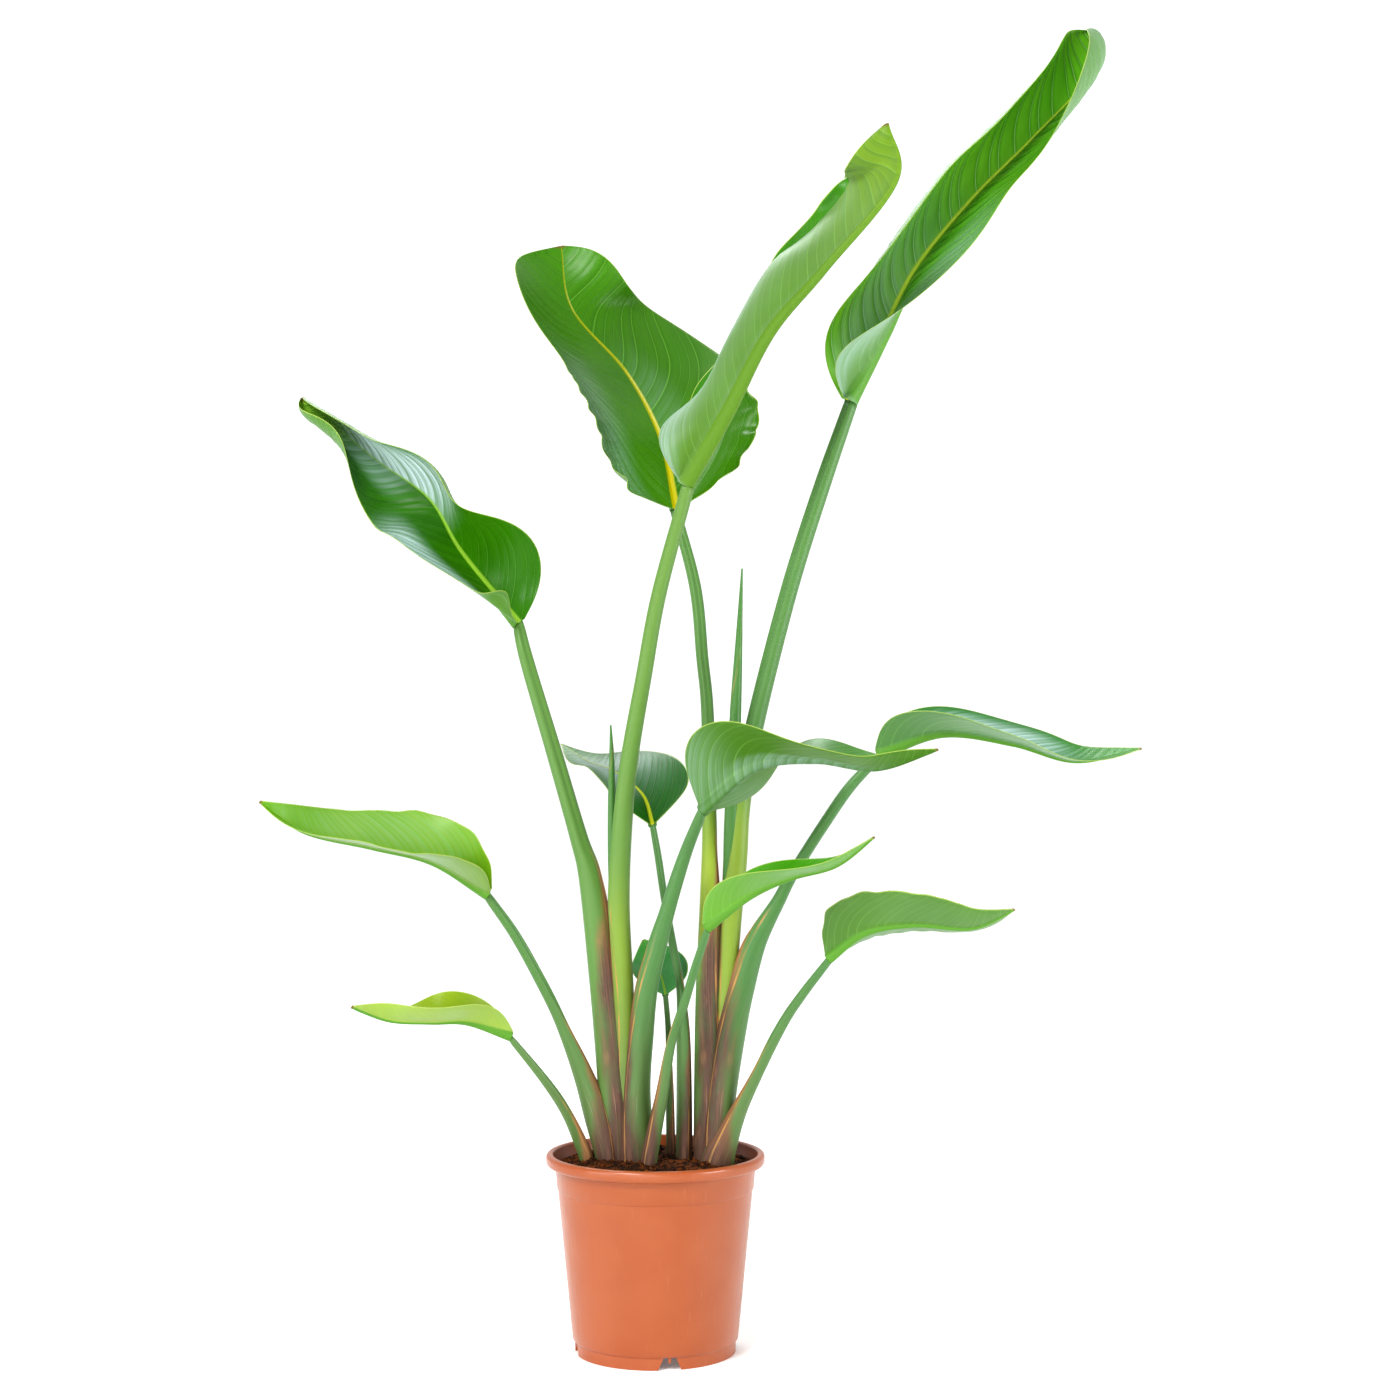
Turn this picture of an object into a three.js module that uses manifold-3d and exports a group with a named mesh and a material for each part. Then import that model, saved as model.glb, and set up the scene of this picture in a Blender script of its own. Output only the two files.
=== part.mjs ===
// Potted bird of paradise: two fans of large leaves on long grooved stalks, which
// stand in dark potting soil in a round terracotta-coloured nursery pot.
//
// Lengths are millimetres and angles are degrees. +Z is up. The origin is the
// middle of the pot's foot on the ground, and the front of the plant faces -Y.

import * as THREE from 'three';
import { mergeVertices } from 'three/addons/utils/BufferGeometryUtils.js';
import Module from 'manifold-3d';

const wasm = await Module();
wasm.setup();

// Clearance between pieces that touch on the real plant.
const GAP = 0.35;

// The pot: a 21 cm nursery pot with a rolled lip, a step line below it and a
// recessed foot band with four drainage notches.
const POT = {
  height: 190,
  rimRadius: 105,
  rimOpening: 98,
  lipDrop: 11.5,
  lipRound: 3,
  wallTop: 96.6,
  wallFoot: 79.4,
  wall: 2,
  stepHeight: 156,
  stepSize: 0.8,
  footRadius: 77,
  footBand: 12.8,
  footWall: 2.4,
  floorTop: 14.5,
  floorUnder: 11,
  padRadius: 22,
  sides: 40,
  notchCount: 4,
  notchAzimuth: -79,
  notchTop: 12.5,
  notchFoot: 23,
  notchHeight: 12,
  ribWidth: 2.4,
  ribHeight: 6,
  drainRadius: 6.5,
  notchReach: 12,
  drainPlace: 62,
};

// The soil fills the pot to a little below the rim. Its top is uneven.
const SOIL = {
  level: 178,
  floorGap: 0.4,
  wallGap: 0.4,
  sides: 30,
  rings: [24, 45, 64, 80],
  roughness: 2.2,
};

// Leaf tissue. The midrib stands out of the underside by keel times its half width, and
// thins out towards the tip as the power ribTaper of the way along. The outline's base
// is a quarter ellipse to the power baseRound. The waves of the right half run ahead of
// those of the left by waveShift of a wave.
const BLADE = {
  thickness: 0.95,
  tipHalfWidth: 1.4,
  flange: 1.5,
  ribTip: 0.6,
  keel: 1.75,
  ribTaper: 0.8,
  baseRound: 0.9,
  waveShift: 0.3,
};

// The stalks run rootDepth into the soil, narrowed there by rootTaper, and their holes go
// a little deeper. A groove deepens to grooveDepth of the size between two places on the
// way up, and is grooveWidth radians wide to each side.
const STALK = {
  sides: 10,
  extraRings: 4,
  rootDepth: 50,
  holeExtra: 2,
  rootTaper: 0.85,
  grooveDepth: 0.28,
  grooveStart: 0.55,
  grooveFull: 0.85,
  grooveWidth: 0.5,
};

// Each leaf is a stalk and a blade. A stalk row is [x, y, z, half width, half
// depth], from the soil up to the blade. A blade has points along its midrib
// from base to tip, the direction its upper side looks (azimuth from the front
// towards +X, elevation) at base, middle and tip, the flattened half widths, where
// it is widest, how blunt its tip is, and for each half the fold at the midrib and
// the further curl out to the margin, from base to tip.
const LEAVES = {
  left_leaf_6: {
    stalk: [[-27, 0, 180, 9.5, 9], [-29, -2, 260, 10, 9.5], [-31, -5, 340, 10.5, 9.5],
      [-35, -8, 430, 10.5, 9], [-31, -12, 510, 9.5, 8.5], [-24, -17, 572, 8.5, 8],
      [-11, -27, 645, 7.7, 7.4], [4, -36, 725, 7.2, 7]],
    ribBase: 6.4,
    rib: [[32, -46, 827], [69, -70, 889], [108, -100, 962], [156, -126, 1016], [221, -129, 1096],
      [213, -131, 1148]],
    faces: [[-124, 11], [-152, 4], [-123, 27]],
    half: [77, 92],
    widest: 0.29,
    blunt: 3.5,
    fold: { left: [29, 65, 58, 84, 83, 83, 80], right: [15, 58, 61, 44, 57, 64, 16] },
    curl: { left: [21, 33, 26, 39, 36, 31, 25], right: [60, 115, 94, 85, 77, 41, 0] },
    wave: [1, 4.5, 0.1],
    rows: 23,
  },
  left_leaf_5: {
    stalk: [[-34, 1, 180, 14.5, 13.5], [-38, 2, 240, 16.5, 14], [-42, 3, 298, 17, 13.5],
      [-48, 6, 360, 16.5, 12], [-62, 10, 450, 12, 9.5], [-74, 14, 490, 8.8, 8],
      [-98, 22, 571, 7.8, 7.5], [-125, 30, 660, 6.9, 6.8]],
    ribBase: 5.8,
    rib: [[-135, 41, 698], [-190, 51, 768], [-223, 64, 822], [-281, 93, 865], [-357, 115, 928]],
    faces: [[3, 46], [-21, 3], [-32, -14]],
    half: [65, 74],
    widest: 0.27,
    blunt: 3.6,
    fold: { left: [41, 44, 41, 23, 28, 51, 23], right: [-15, 31, 47, 28, 33, 36, 51] },
    curl: { left: [28, 28, 28, 31, 64, 125, 166], right: [-15, 13, 43, 53, 56, 41, 30] },
    wave: [1, 4, 0.6],
    rows: 22,
  },
  left_leaf_4: {
    stalk: [[-18, -5, 180, 18, 17], [-18, -7, 250, 13.5, 15], [-14, -10, 305, 12.6, 13.5],
      [-9, -15, 348, 11.5, 11], [0, -21, 384, 10, 8.5], [10, -28, 418, 7.6, 7],
      [20, -36, 452, 6.8, 6.6], [31, -47, 485, 5.8, 5.8]],
    ribBase: 4.8,
    rib: [[45, -73, 520], [94, -97, 561], [148, -115, 568], [204, -124, 561], [258, -143, 579]],
    faces: [[-180, 25], [-170, 100], [196, 61]],
    half: [63, 66],
    widest: 0.26,
    blunt: 2,
    fold: { left: [38, 11, 12, 36], right: [6, 22, 16, 15] },
    curl: { left: [8, 10, 2, 15], right: [40, 11, 4, 0] },
    wave: [0.8, 3, 0.2],
    rows: 15,
  },
  left_leaf_3: {
    stalk: [[-45, 0, 180, 12, 18], [-55, 0, 224, 13.5, 14], [-70, -2, 268, 10, 9],
      [-91, -6, 317, 6, 6], [-110, -10, 356, 5.4, 5.4], [-134, -15, 400, 5, 5]],
    ribBase: 4.2,
    rib: [[-160, -22, 438], [-211, -31, 470], [-267, -44, 485], [-327, -60, 500],
      [-367, -77, 529]],
    faces: [[1, 57], [0, 76], [-1, 59]],
    half: [44, 48],
    widest: 0.34,
    blunt: 2,
    fold: { left: [66, 17, 22, 5], right: [80, 42, 33, 50] },
    curl: { left: [65, 10, -2, -4], right: [25, 1, -6, 3] },
    wave: [1, 3.5, 0.35],
    rows: 15,
  },
  left_leaf_2: {
    stalk: [[-7, -22, 180, 8.5, 12], [0, -25, 220, 7.6, 8.5], [6, -29, 250, 6.6, 7],
      [15, -36, 300, 5, 5], [27, -52, 336, 4.4, 4.4], [38, -70, 374, 4, 4]],
    ribBase: 3.4,
    rib: [[50, -91, 412], [88, -110, 443], [125, -122, 461], [166, -141, 474], [199, -163, 501]],
    faces: [[-31, 86], [1, 77], [11, 84]],
    half: [27, 32],
    widest: 0.3,
    blunt: 1.8,
    fold: { left: [66, 41, 23, 25], right: [71, 40, 22, 21] },
    curl: { left: [13, 5, -4, 7], right: [35, 13, 1, 1] },
    wave: [0.6, 2.5, 0.1],
    rows: 11,
  },
  left_leaf_1: {
    stalk: [[-65, -4, 180, 7.6, 8.5], [-73, -8, 205, 6.8, 7], [-86, -18, 234, 5.4, 5.4],
      [-106, -32, 266, 4.4, 4.4]],
    ribBase: 3.2,
    rib: [[-136, -48, 306], [-175, -63, 322], [-208, -76, 324], [-245, -86, 327],
      [-277, -110, 342]],
    faces: [[0, 103], [1, 75], [2, 117]],
    half: [27, 30],
    widest: 0.37,
    blunt: 2.6,
    fold: { left: [75, 43, 45, 62], right: [63, 52, 11, 27] },
    curl: { left: [34, 12, 15, 28], right: [20, 13, -7, 14] },
    wave: [0.8, 2, 0.3],
    rows: 11,
  },
  right_leaf_6: {
    stalk: [[58, 0, 180, 9, 9], [62, 0, 260, 9.5, 9.5], [67, 1, 340, 10, 9.5],
      [72, 2, 410, 10.5, 9.5], [76, 3, 470, 12, 9.5], [80, 4, 520, 11, 9], [91, 6, 580, 9.2, 8.8],
      [109, 8, 656, 8.7, 8.4], [133, 11, 745, 8.4, 8.2], [162, 15, 835, 8, 7.8]],
    ribBase: 6.8,
    rib: [[189, 19, 912], [223, 25, 980], [256, 38, 1047], [311, 57, 1117], [369, 66, 1176],
      [424, 78, 1238], [434, 99, 1292]],
    faces: [[-63, -31], [-27, -15], [34, 51]],
    half: [73, 84],
    widest: 0.37,
    blunt: 4.2,
    fold: {
      left: [-10, 36, 53, 35, 21, 21, 22, 15, 1],
      right: [120, 74, 46, 50, 60, 56, 45, 43, 53],
    },
    curl: {
      left: [3, 53, 86, 94, 99, 102, 91, 59, 19],
      right: [2, -27, -17, -3, 6, 20, 62, 122, 191],
    },
    wave: [1, 5, 0.4],
    rows: 24,
  },
  right_leaf_5: {
    stalk: [[50, 2, 180, 13.5, 13], [51, 2, 260, 14, 13], [52, 3, 340, 13.5, 12],
      [53, 5, 432, 10.5, 9.5], [52, 12, 500, 7.2, 7], [50, 25, 610, 6.2, 6.2], [45, 42, 665, 6, 6],
      [38, 60, 735, 5.9, 5.9]],
    ribBase: 5.2,
    rib: [[18, 82, 813], [3, 96, 884], [-32, 126, 954], [-87, 137, 1020], [-100, 170, 1090]],
    faces: [[12, 30], [7, 23], [-3, 27]],
    half: [113, 106],
    widest: 0.29,
    blunt: 2.5,
    fold: { left: [15, 28, 29, 29, 28, 7], right: [8, 6, -8, -23, -6, 23] },
    curl: { left: [23, 29, 29, 29, 28, 18], right: [81, 43, 17, -3, 0, 11] },
    wave: [1.6, 5, 0.15],
    rows: 20,
  },
  right_leaf_4: {
    stalk: [[28, 4, 180, 8.5, 12], [28, 5, 250, 8, 11], [27, 8, 306, 7, 8.5],
      [24, 15, 346, 4.4, 5], [17, 40, 380, 4, 4], [7, 80, 430, 3.7, 3.7], [1, 104, 466, 3.6, 3.6]],
    ribBase: 3.2,
    rib: [[-5, 124, 497], [-16, 148, 526], [-46, 185, 549], [-74, 217, 559], [-105, 270, 577]],
    faces: [[5, 12], [4, 82], [2, 55]],
    half: [48, 55],
    widest: 0.15,
    blunt: 1.9,
    fold: { left: [43, 21, 10, -2], right: [31, 29, 15, -21] },
    curl: { left: [17, 2, -4, -12], right: [28, 2, 3, -12] },
    wave: [1, 3.5, 0.5],
    rows: 15,
  },
  right_leaf_3: {
    stalk: [[57, -4, 180, 15, 17], [63, -4, 245, 14.6, 15.5], [74, -4, 316, 14.6, 12],
      [83, -4, 354, 13.5, 10], [92, -3, 384, 12, 8.5], [101, -2, 403, 10, 7.4],
      [117, -1, 430, 7, 6.4], [133, 0, 460, 6, 6], [163, 2, 507, 5.9, 5.9],
      [187, 4, 541, 5.7, 5.7]],
    ribBase: 4.6,
    rib: [[215, 6, 570], [275, -11, 591], [341, -20, 582], [399, -31, 566], [460, -39, 578]],
    faces: [[0, 84], [11, 91], [21, 84]],
    half: [45, 47],
    widest: 0.39,
    blunt: 2,
    fold: { left: [67, 28, 26, 21], right: [70, 18, 6, -8] },
    curl: { left: [14, 2, 3, 5], right: [25, 0, -2, -14] },
    wave: [0.8, 4, 0.7],
    rows: 15,
  },
  right_leaf_2: {
    stalk: [[15, 26, 180, 5, 5.5], [14, 28, 240, 4.6, 5], [12, 34, 300, 3, 3]],
    ribBase: 2.6,
    rib: [[9, 44, 335], [5, 62, 350], [-2, 82, 364], [-14, 100, 384]],
    faces: [[0, 42], [-5, 48], [-10, 45]],
    half: [30, 30],
    widest: 0.4,
    blunt: 2.2,
    fold: { left: [20, 16, 12], right: [16, 12, 8] },
    curl: { left: [10, 8, 6], right: [10, 8, 6] },
    wave: [0.6, 2, 0.2],
    rows: 11,
  },
  right_leaf_1: {
    stalk: [[58, -14, 180, 17, 14], [75, -18, 224, 9.8, 9], [93, -26, 262, 6.4, 6.2],
      [120, -42, 317, 5, 5], [139, -56, 348, 4.4, 4.4]],
    ribBase: 3.6,
    rib: [[163, -75, 382], [196, -88, 408], [241, -94, 416], [293, -102, 414], [331, -113, 432]],
    faces: [[174, 62], [169, 82], [180, 90]],
    half: [42, 44],
    widest: 0.36,
    blunt: 2.2,
    fold: { left: [18, -4, -12, -19], right: [67, 41, 37, 32] },
    curl: { left: [37, 6, 5, 1], right: [17, 2, 12, 15] },
    wave: [0.8, 3, 0.8],
    rows: 11,
  },
};

// Rolled young leaves that stand in the newest sheath, rows as for a stalk.
const SPEARS = {
  left_spear: [[-41.5, -5, 440, 3.2, 3.2], [-42, -5, 480, 3.6, 3.6], [-42, -4, 530, 3.5, 3.5],
    [-42, -3, 570, 2.4, 2.4], [-43, -2, 600, 0.8, 0.8]],
  right_spear: [[70, 0, 430, 5.6, 5], [72, -1, 500, 6.4, 5.4], [75, -3, 570, 6, 5.4], [77, -4, 618, 5.4, 5],
    [80, -5, 680, 3.4, 3.4], [83, -6, 750, 0.8, 0.8]],
};

// Each fan from its heart outwards: a sheath is cut away round every younger one.
const FANS = {
  left: ['left_spear', 'left_leaf_6', 'left_leaf_5', 'left_leaf_4', 'left_leaf_3', 'left_leaf_2',
    'left_leaf_1'],
  right: ['right_spear', 'right_leaf_6', 'right_leaf_5', 'right_leaf_3', 'right_leaf_4', 'right_leaf_2',
    'right_leaf_1'],
};

const COLOURS = {
  pot: [0xd9784e, 0.42],
  soil: [0x4a3423, 0.95],
  blade: [0x4a9a1c, 0.42],
  stalk: [0x74a855, 0.5],
  spear: [0x6fa64c, 0.5],
};

const X_AXIS = new THREE.Vector3(1, 0, 0);
const DEPTH = new THREE.Vector3(0, 1, 0);

function radians(degrees) {
  return THREE.MathUtils.degToRad(degrees);
}

function vector(row) {
  return new THREE.Vector3(row[0], row[1], row[2]);
}

function smoothLine(points) {
  return new THREE.CatmullRomCurve3(points, false, 'catmullrom', 0.5);
}

// A number that runs smoothly through its keys as t goes from 0 to 1.
function along(keys, t) {
  return smoothLine(keys.map((key) => new THREE.Vector3(key, 0, 0))).getPoint(t).x;
}

// Turns a closed mesh the right way out.
function facingOut(geometry) {
  const p = geometry.getAttribute('position');
  const index = geometry.getIndex();
  const a = new THREE.Vector3();
  const b = new THREE.Vector3();
  const c = new THREE.Vector3();
  let volume = 0;
  for (let i = 0; i < index.count; i += 3) {
    a.fromBufferAttribute(p, index.getX(i));
    b.fromBufferAttribute(p, index.getX(i + 1));
    c.fromBufferAttribute(p, index.getX(i + 2));
    volume += a.dot(b.cross(c));
  }
  if (volume < 0) {
    for (let i = 0; i < index.count; i += 3) {
      const first = index.getX(i);
      index.setX(i, index.getX(i + 1));
      index.setX(i + 1, first);
    }
  }
  return geometry;
}

function meshOf(points, faces) {
  const geometry = new THREE.BufferGeometry();
  const places = points.flatMap((p) => [p.x, p.y, p.z]);
  geometry.setAttribute('position', new THREE.Float32BufferAttribute(places, 3));
  geometry.setIndex(faces);
  return facingOut(geometry);
}

function toSolid(geometry) {
  const bare = geometry.clone();
  bare.deleteAttribute('normal');
  bare.deleteAttribute('uv');
  const merged = facingOut(mergeVertices(bare, 1e-4));
  return new wasm.Manifold(new wasm.Mesh({
    numProp: 3,
    vertProperties: new Float32Array(merged.getAttribute('position').array),
    triVerts: new Uint32Array(merged.getIndex().array),
  }));
}

// The largest body of a solid, so that no loose scrap stays behind.
function toGeometry(solid) {
  const bodies = solid.decompose();
  const largest = bodies.reduce((best, body) => (body.volume() > best.volume() ? body : best));
  const mesh = largest.getMesh();
  const geometry = new THREE.BufferGeometry();
  geometry.setAttribute('position', new THREE.BufferAttribute(new Float32Array(mesh.vertProperties), 3));
  geometry.setIndex(new THREE.BufferAttribute(new Uint32Array(mesh.triVerts), 1));
  return geometry;
}

// A closed tube through rings of equal length, with a fan over each end.
function loft(rings) {
  const n = rings[0].length;
  const points = rings.flat();
  const faces = [];
  for (let i = 0; i + 1 < rings.length; i += 1) {
    for (let j = 0; j < n; j += 1) {
      const a = i * n + j;
      const b = i * n + ((j + 1) % n);
      faces.push(a, b, b + n, a, b + n, a + n);
    }
  }
  for (const end of [0, rings.length - 1]) {
    const middle = points.length;
    const centre = rings[end].reduce((sum, p) => sum.add(p), new THREE.Vector3()).divideScalar(n);
    points.push(centre);
    for (let j = 0; j < n; j += 1) {
      const a = end * n + j;
      const b = end * n + ((j + 1) % n);
      faces.push(...(end === 0 ? [b, a, middle] : [a, b, middle]));
    }
  }
  return meshOf(points, faces);
}

// The direction that an azimuth from the front and an elevation give.
function lookDirection([azimuth, elevation]) {
  const a = radians(azimuth);
  const e = radians(elevation);
  return new THREE.Vector3(Math.cos(e) * Math.sin(a), -Math.cos(e) * Math.cos(a), Math.sin(e));
}

// The midrib's middle at t, the top of the midrib over it, and the forward, upper-side
// and right-hand directions there.
function ribFrame(leaf, t) {
  const line = smoothLine(leaf.rib.map(vector));
  const step = 1e-3;
  const next = line.getPoint(Math.min(1, t + step));
  const forward = next.sub(line.getPoint(Math.max(0, t - step))).normalize();
  const look = smoothLine(leaf.faces.map(lookDirection)).getPoint(t);
  const up = look.addScaledVector(forward, -look.dot(forward)).normalize();
  const right = new THREE.Vector3().crossVectors(forward, up);
  const middle = line.getPoint(t);
  return { middle, top: middle.clone().addScaledVector(up, ribHalf(leaf, t)), forward, up, right };
}

// Flattened half width as a share of the widest: a rounded base, then a taper.
function widthShare(leaf, t) {
  if (t < leaf.widest) {
    const u = (leaf.widest - t) / leaf.widest;
    return Math.sqrt(Math.max(0, 1 - u * u)) ** BLADE.baseRound;
  }
  return 1 - ((t - leaf.widest) / (1 - leaf.widest)) ** leaf.blunt;
}

// Half the width of the midrib, which carries on from the stalk and thins out.
function ribHalf(leaf, t) {
  return THREE.MathUtils.lerp(leaf.ribBase, BLADE.ribTip, t ** BLADE.ribTaper);
}

// A point of the upper face: side is -1 or 1, reach runs from 0 at the midrib's
// edge to 1 at the margin, and null means the middle of the midrib.
function bladePoint(leaf, t, side, reach) {
  const frame = ribFrame(leaf, t);
  if (reach === null) {
    return frame.top;
  }
  const key = side < 0 ? 'left' : 'right';
  const rib = ribHalf(leaf, t);
  const full = leaf.half[side < 0 ? 0 : 1] * widthShare(leaf, t);
  const least = t > 0.5 ? BLADE.tipHalfWidth - BLADE.ribTip : BLADE.flange;
  const half = Math.max(full, rib + least);
  const q = (rib + (half - rib) * reach) / half;
  const fold = radians(along(leaf.fold[key], t));
  const curl = radians(along(leaf.curl[key], t) || 0.01);
  const angle = fold + curl * q;
  const out = half * (Math.sin(angle) - Math.sin(fold)) / curl;
  const rise = half * (Math.cos(fold) - Math.cos(angle)) / curl;
  const [size, count, phase] = leaf.wave;
  const shift = phase + (side > 0 ? BLADE.waveShift : 0);
  const ripple = size * Math.sin(2 * Math.PI * (count * t + shift)) * q * q * Math.sin(Math.PI * t);
  return frame.top
    .addScaledVector(frame.right, side * (out - ripple * Math.sin(angle)))
    .addScaledVector(frame.up, rise + ripple * Math.cos(angle));
}

// A blade with its midrib raised on the underside. Both faces are the same grid,
// split into triangles alike.
function bladeGeometry(leaf) {
  const reaches = leaf.rows > 15 ? [0, 0.3, 0.62, 0.86, 1] : [0, 0.38, 0.74, 1];
  const columns = [
    ...reaches.toReversed().map((reach) => [-1, reach]),
    [1, null],
    ...reaches.map((reach) => [1, reach]),
  ];
  const across = columns.length;
  const times = [];
  for (let i = 0; i < leaf.rows; i += 1) {
    const even = i / (leaf.rows - 1);
    times.push(0.5 * even + 0.25 * (1 - Math.cos(Math.PI * even)));
  }
  const upper = times.map((t) => columns.map(([side, reach]) => bladePoint(leaf, t, side, reach)));
  const lower = upper.map((row, i) => row.map((point, j) => {
    const ahead = upper[Math.min(i + 1, leaf.rows - 1)][j];
    const behind = upper[Math.max(i - 1, 0)][j];
    const left = row[Math.max(j - 1, 0)];
    const right = row[Math.min(j + 1, across - 1)];
    const normal = new THREE.Vector3().crossVectors(
      right.clone().sub(left),
      ahead.clone().sub(behind),
    ).normalize();
    if (columns[j][1] === null) {
      const keel = BLADE.keel * ribHalf(leaf, times[i]) + BLADE.thickness;
      return point.clone().addScaledVector(ribFrame(leaf, times[i]).up, -keel);
    }
    return point.clone().addScaledVector(normal, -BLADE.thickness);
  }));
  const points = [...upper.flat(), ...lower.flat()];
  const under = leaf.rows * across;
  const faces = [];
  for (let i = 0; i + 1 < leaf.rows; i += 1) {
    for (let j = 0; j + 1 < across; j += 1) {
      const a = i * across + j;
      const b = a + 1;
      const c = b + across;
      const d = a + across;
      faces.push(a, b, c, a, c, d);
      faces.push(under + a, under + c, under + b, under + a, under + d, under + c);
    }
    const first = i * across;
    const last = first + across - 1;
    const firstUnder = under + first;
    const lastUnder = under + last;
    faces.push(first, first + across, firstUnder + across, first, firstUnder + across, firstUnder);
    faces.push(last, lastUnder + across, last + across, last, lastUnder, lastUnder + across);
  }
  for (const [row, turned] of [[0, false], [leaf.rows - 1, true]]) {
    for (let j = 0; j + 1 < across; j += 1) {
      const a = row * across + j;
      const quad = [a, under + a + 1, a + 1, a, under + a, under + a + 1];
      faces.push(...(turned ? quad.toReversed() : quad));
    }
  }
  return meshOf(points, faces);
}

// A ring round a stalk. The groove sinks the side that faces the given way.
function stalkRing(centre, tangent, halfWidth, halfDepth, grooveTo, groove) {
  const across = new THREE.Vector3().crossVectors(DEPTH, tangent).normalize();
  const back = new THREE.Vector3().crossVectors(tangent, across);
  const facing = Math.atan2(grooveTo.dot(back), grooveTo.dot(across));
  const ring = [];
  for (let i = 0; i < STALK.sides; i += 1) {
    const angle = 2 * Math.PI * i / STALK.sides;
    const off = Math.atan2(Math.sin(angle - facing), Math.cos(angle - facing));
    const size = 1 - groove * Math.exp(-((off / STALK.grooveWidth) ** 2));
    ring.push(centre.clone()
      .addScaledVector(across, halfWidth * size * Math.cos(angle))
      .addScaledVector(back, halfDepth * size * Math.sin(angle)));
  }
  return ring;
}

// A stalk, or a spear, as a tube through its rows. With a leaf it ends square on
// the blade's midrib, and its groove opens on the blade's upper side.
function stalkGeometry(rows, leaf, grow) {
  const path = rows.map(vector);
  const widths = rows.map((row) => row[3]);
  const depths = rows.map((row) => row[4]);
  const top = leaf ? ribFrame(leaf, 0) : null;
  if (leaf) {
    const depth = STALK.rootDepth + (grow > 0 ? STALK.holeExtra : 0);
    path.unshift(path[0].clone().add(new THREE.Vector3(0, 0, -depth)));
    widths.unshift(widths[0] * STALK.rootTaper);
    depths.unshift(depths[0] * STALK.rootTaper);
    path.push(top.middle.clone().addScaledVector(top.forward, -GAP));
    widths.push(leaf.ribBase);
    depths.push(leaf.ribBase);
  }
  const line = smoothLine(path);
  const count = path.length + 1 + (leaf ? STALK.extraRings : 0);
  const rings = [];
  for (let i = 0; i < count; i += 1) {
    const t = i / (count - 1);
    const tangent = top && i === count - 1 ? top.forward : line.getTangent(t);
    const grooveTo = top ? top.up : X_AXIS;
    const grown = THREE.MathUtils.smoothstep(t, STALK.grooveStart, STALK.grooveFull);
    const groove = top ? STALK.grooveDepth * grown : 0;
    const wide = along(widths, t) + grow;
    const deep = along(depths, t) + grow;
    rings.push(stalkRing(line.getPoint(t), tangent, wide, deep, grooveTo, groove));
  }
  return loft(rings);
}

function rowsOf(name) {
  return SPEARS[name] ?? LEAVES[name].stalk;
}

// A stalk without the room that the younger stalks inside it take.
function sheathedStalk(name, younger) {
  let solid = toSolid(stalkGeometry(rowsOf(name), LEAVES[name], 0));
  for (const inner of younger) {
    solid = solid.subtract(toSolid(stalkGeometry(rowsOf(inner), LEAVES[inner], GAP)));
  }
  return toGeometry(solid);
}

// The outside radius of the pot's wall at a height below the lip.
function wallRadius(z) {
  const share = (z - POT.footBand) / (POT.height - POT.lipDrop - POT.footBand);
  const step = z > POT.stepHeight ? POT.stepSize : 0;
  return THREE.MathUtils.lerp(POT.wallFoot, POT.wallTop - POT.stepSize, share) + step;
}

function potProfile() {
  const lipFoot = POT.height - POT.lipDrop;
  const round = POT.lipRound;
  return [
    [0, 0],
    [POT.padRadius, 0],
    [POT.padRadius + 2, POT.floorUnder],
    [POT.footRadius - POT.footWall, POT.floorUnder],
    [POT.footRadius - POT.footWall, 0],
    [POT.footRadius, 0],
    [POT.footRadius, POT.footBand - 2.5],
    [POT.wallFoot, POT.footBand],
    [wallRadius(POT.stepHeight), POT.stepHeight],
    [wallRadius(POT.stepHeight + 1), POT.stepHeight + 1],
    [POT.wallTop, lipFoot],
    [POT.rimRadius - round, lipFoot],
    [POT.rimRadius, lipFoot + round],
    [POT.rimRadius, POT.height - round],
    [POT.rimRadius - 0.3 * round, POT.height - 0.3 * round],
    [POT.rimRadius - round, POT.height],
    [POT.rimOpening + 2, POT.height],
    [POT.rimOpening, POT.height - 2],
    [POT.rimOpening - 1, lipFoot],
    [POT.wallTop - POT.wall, lipFoot - 4],
    [wallRadius(POT.floorTop + 3) - POT.wall, POT.floorTop + 3],
    [wallRadius(POT.floorTop) - POT.wall - 2, POT.floorTop],
    [0, POT.floorTop],
  ];
}

// Turns a profile of [radius, height] about the Z axis.
function turned(profile, sides) {
  const geometry = new THREE.LatheGeometry(profile.map(([r, z]) => new THREE.Vector2(r, z)), sides);
  return geometry.rotateX(Math.PI / 2);
}

function placeRound(geometry, azimuth) {
  return geometry.rotateZ(radians(azimuth));
}

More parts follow.
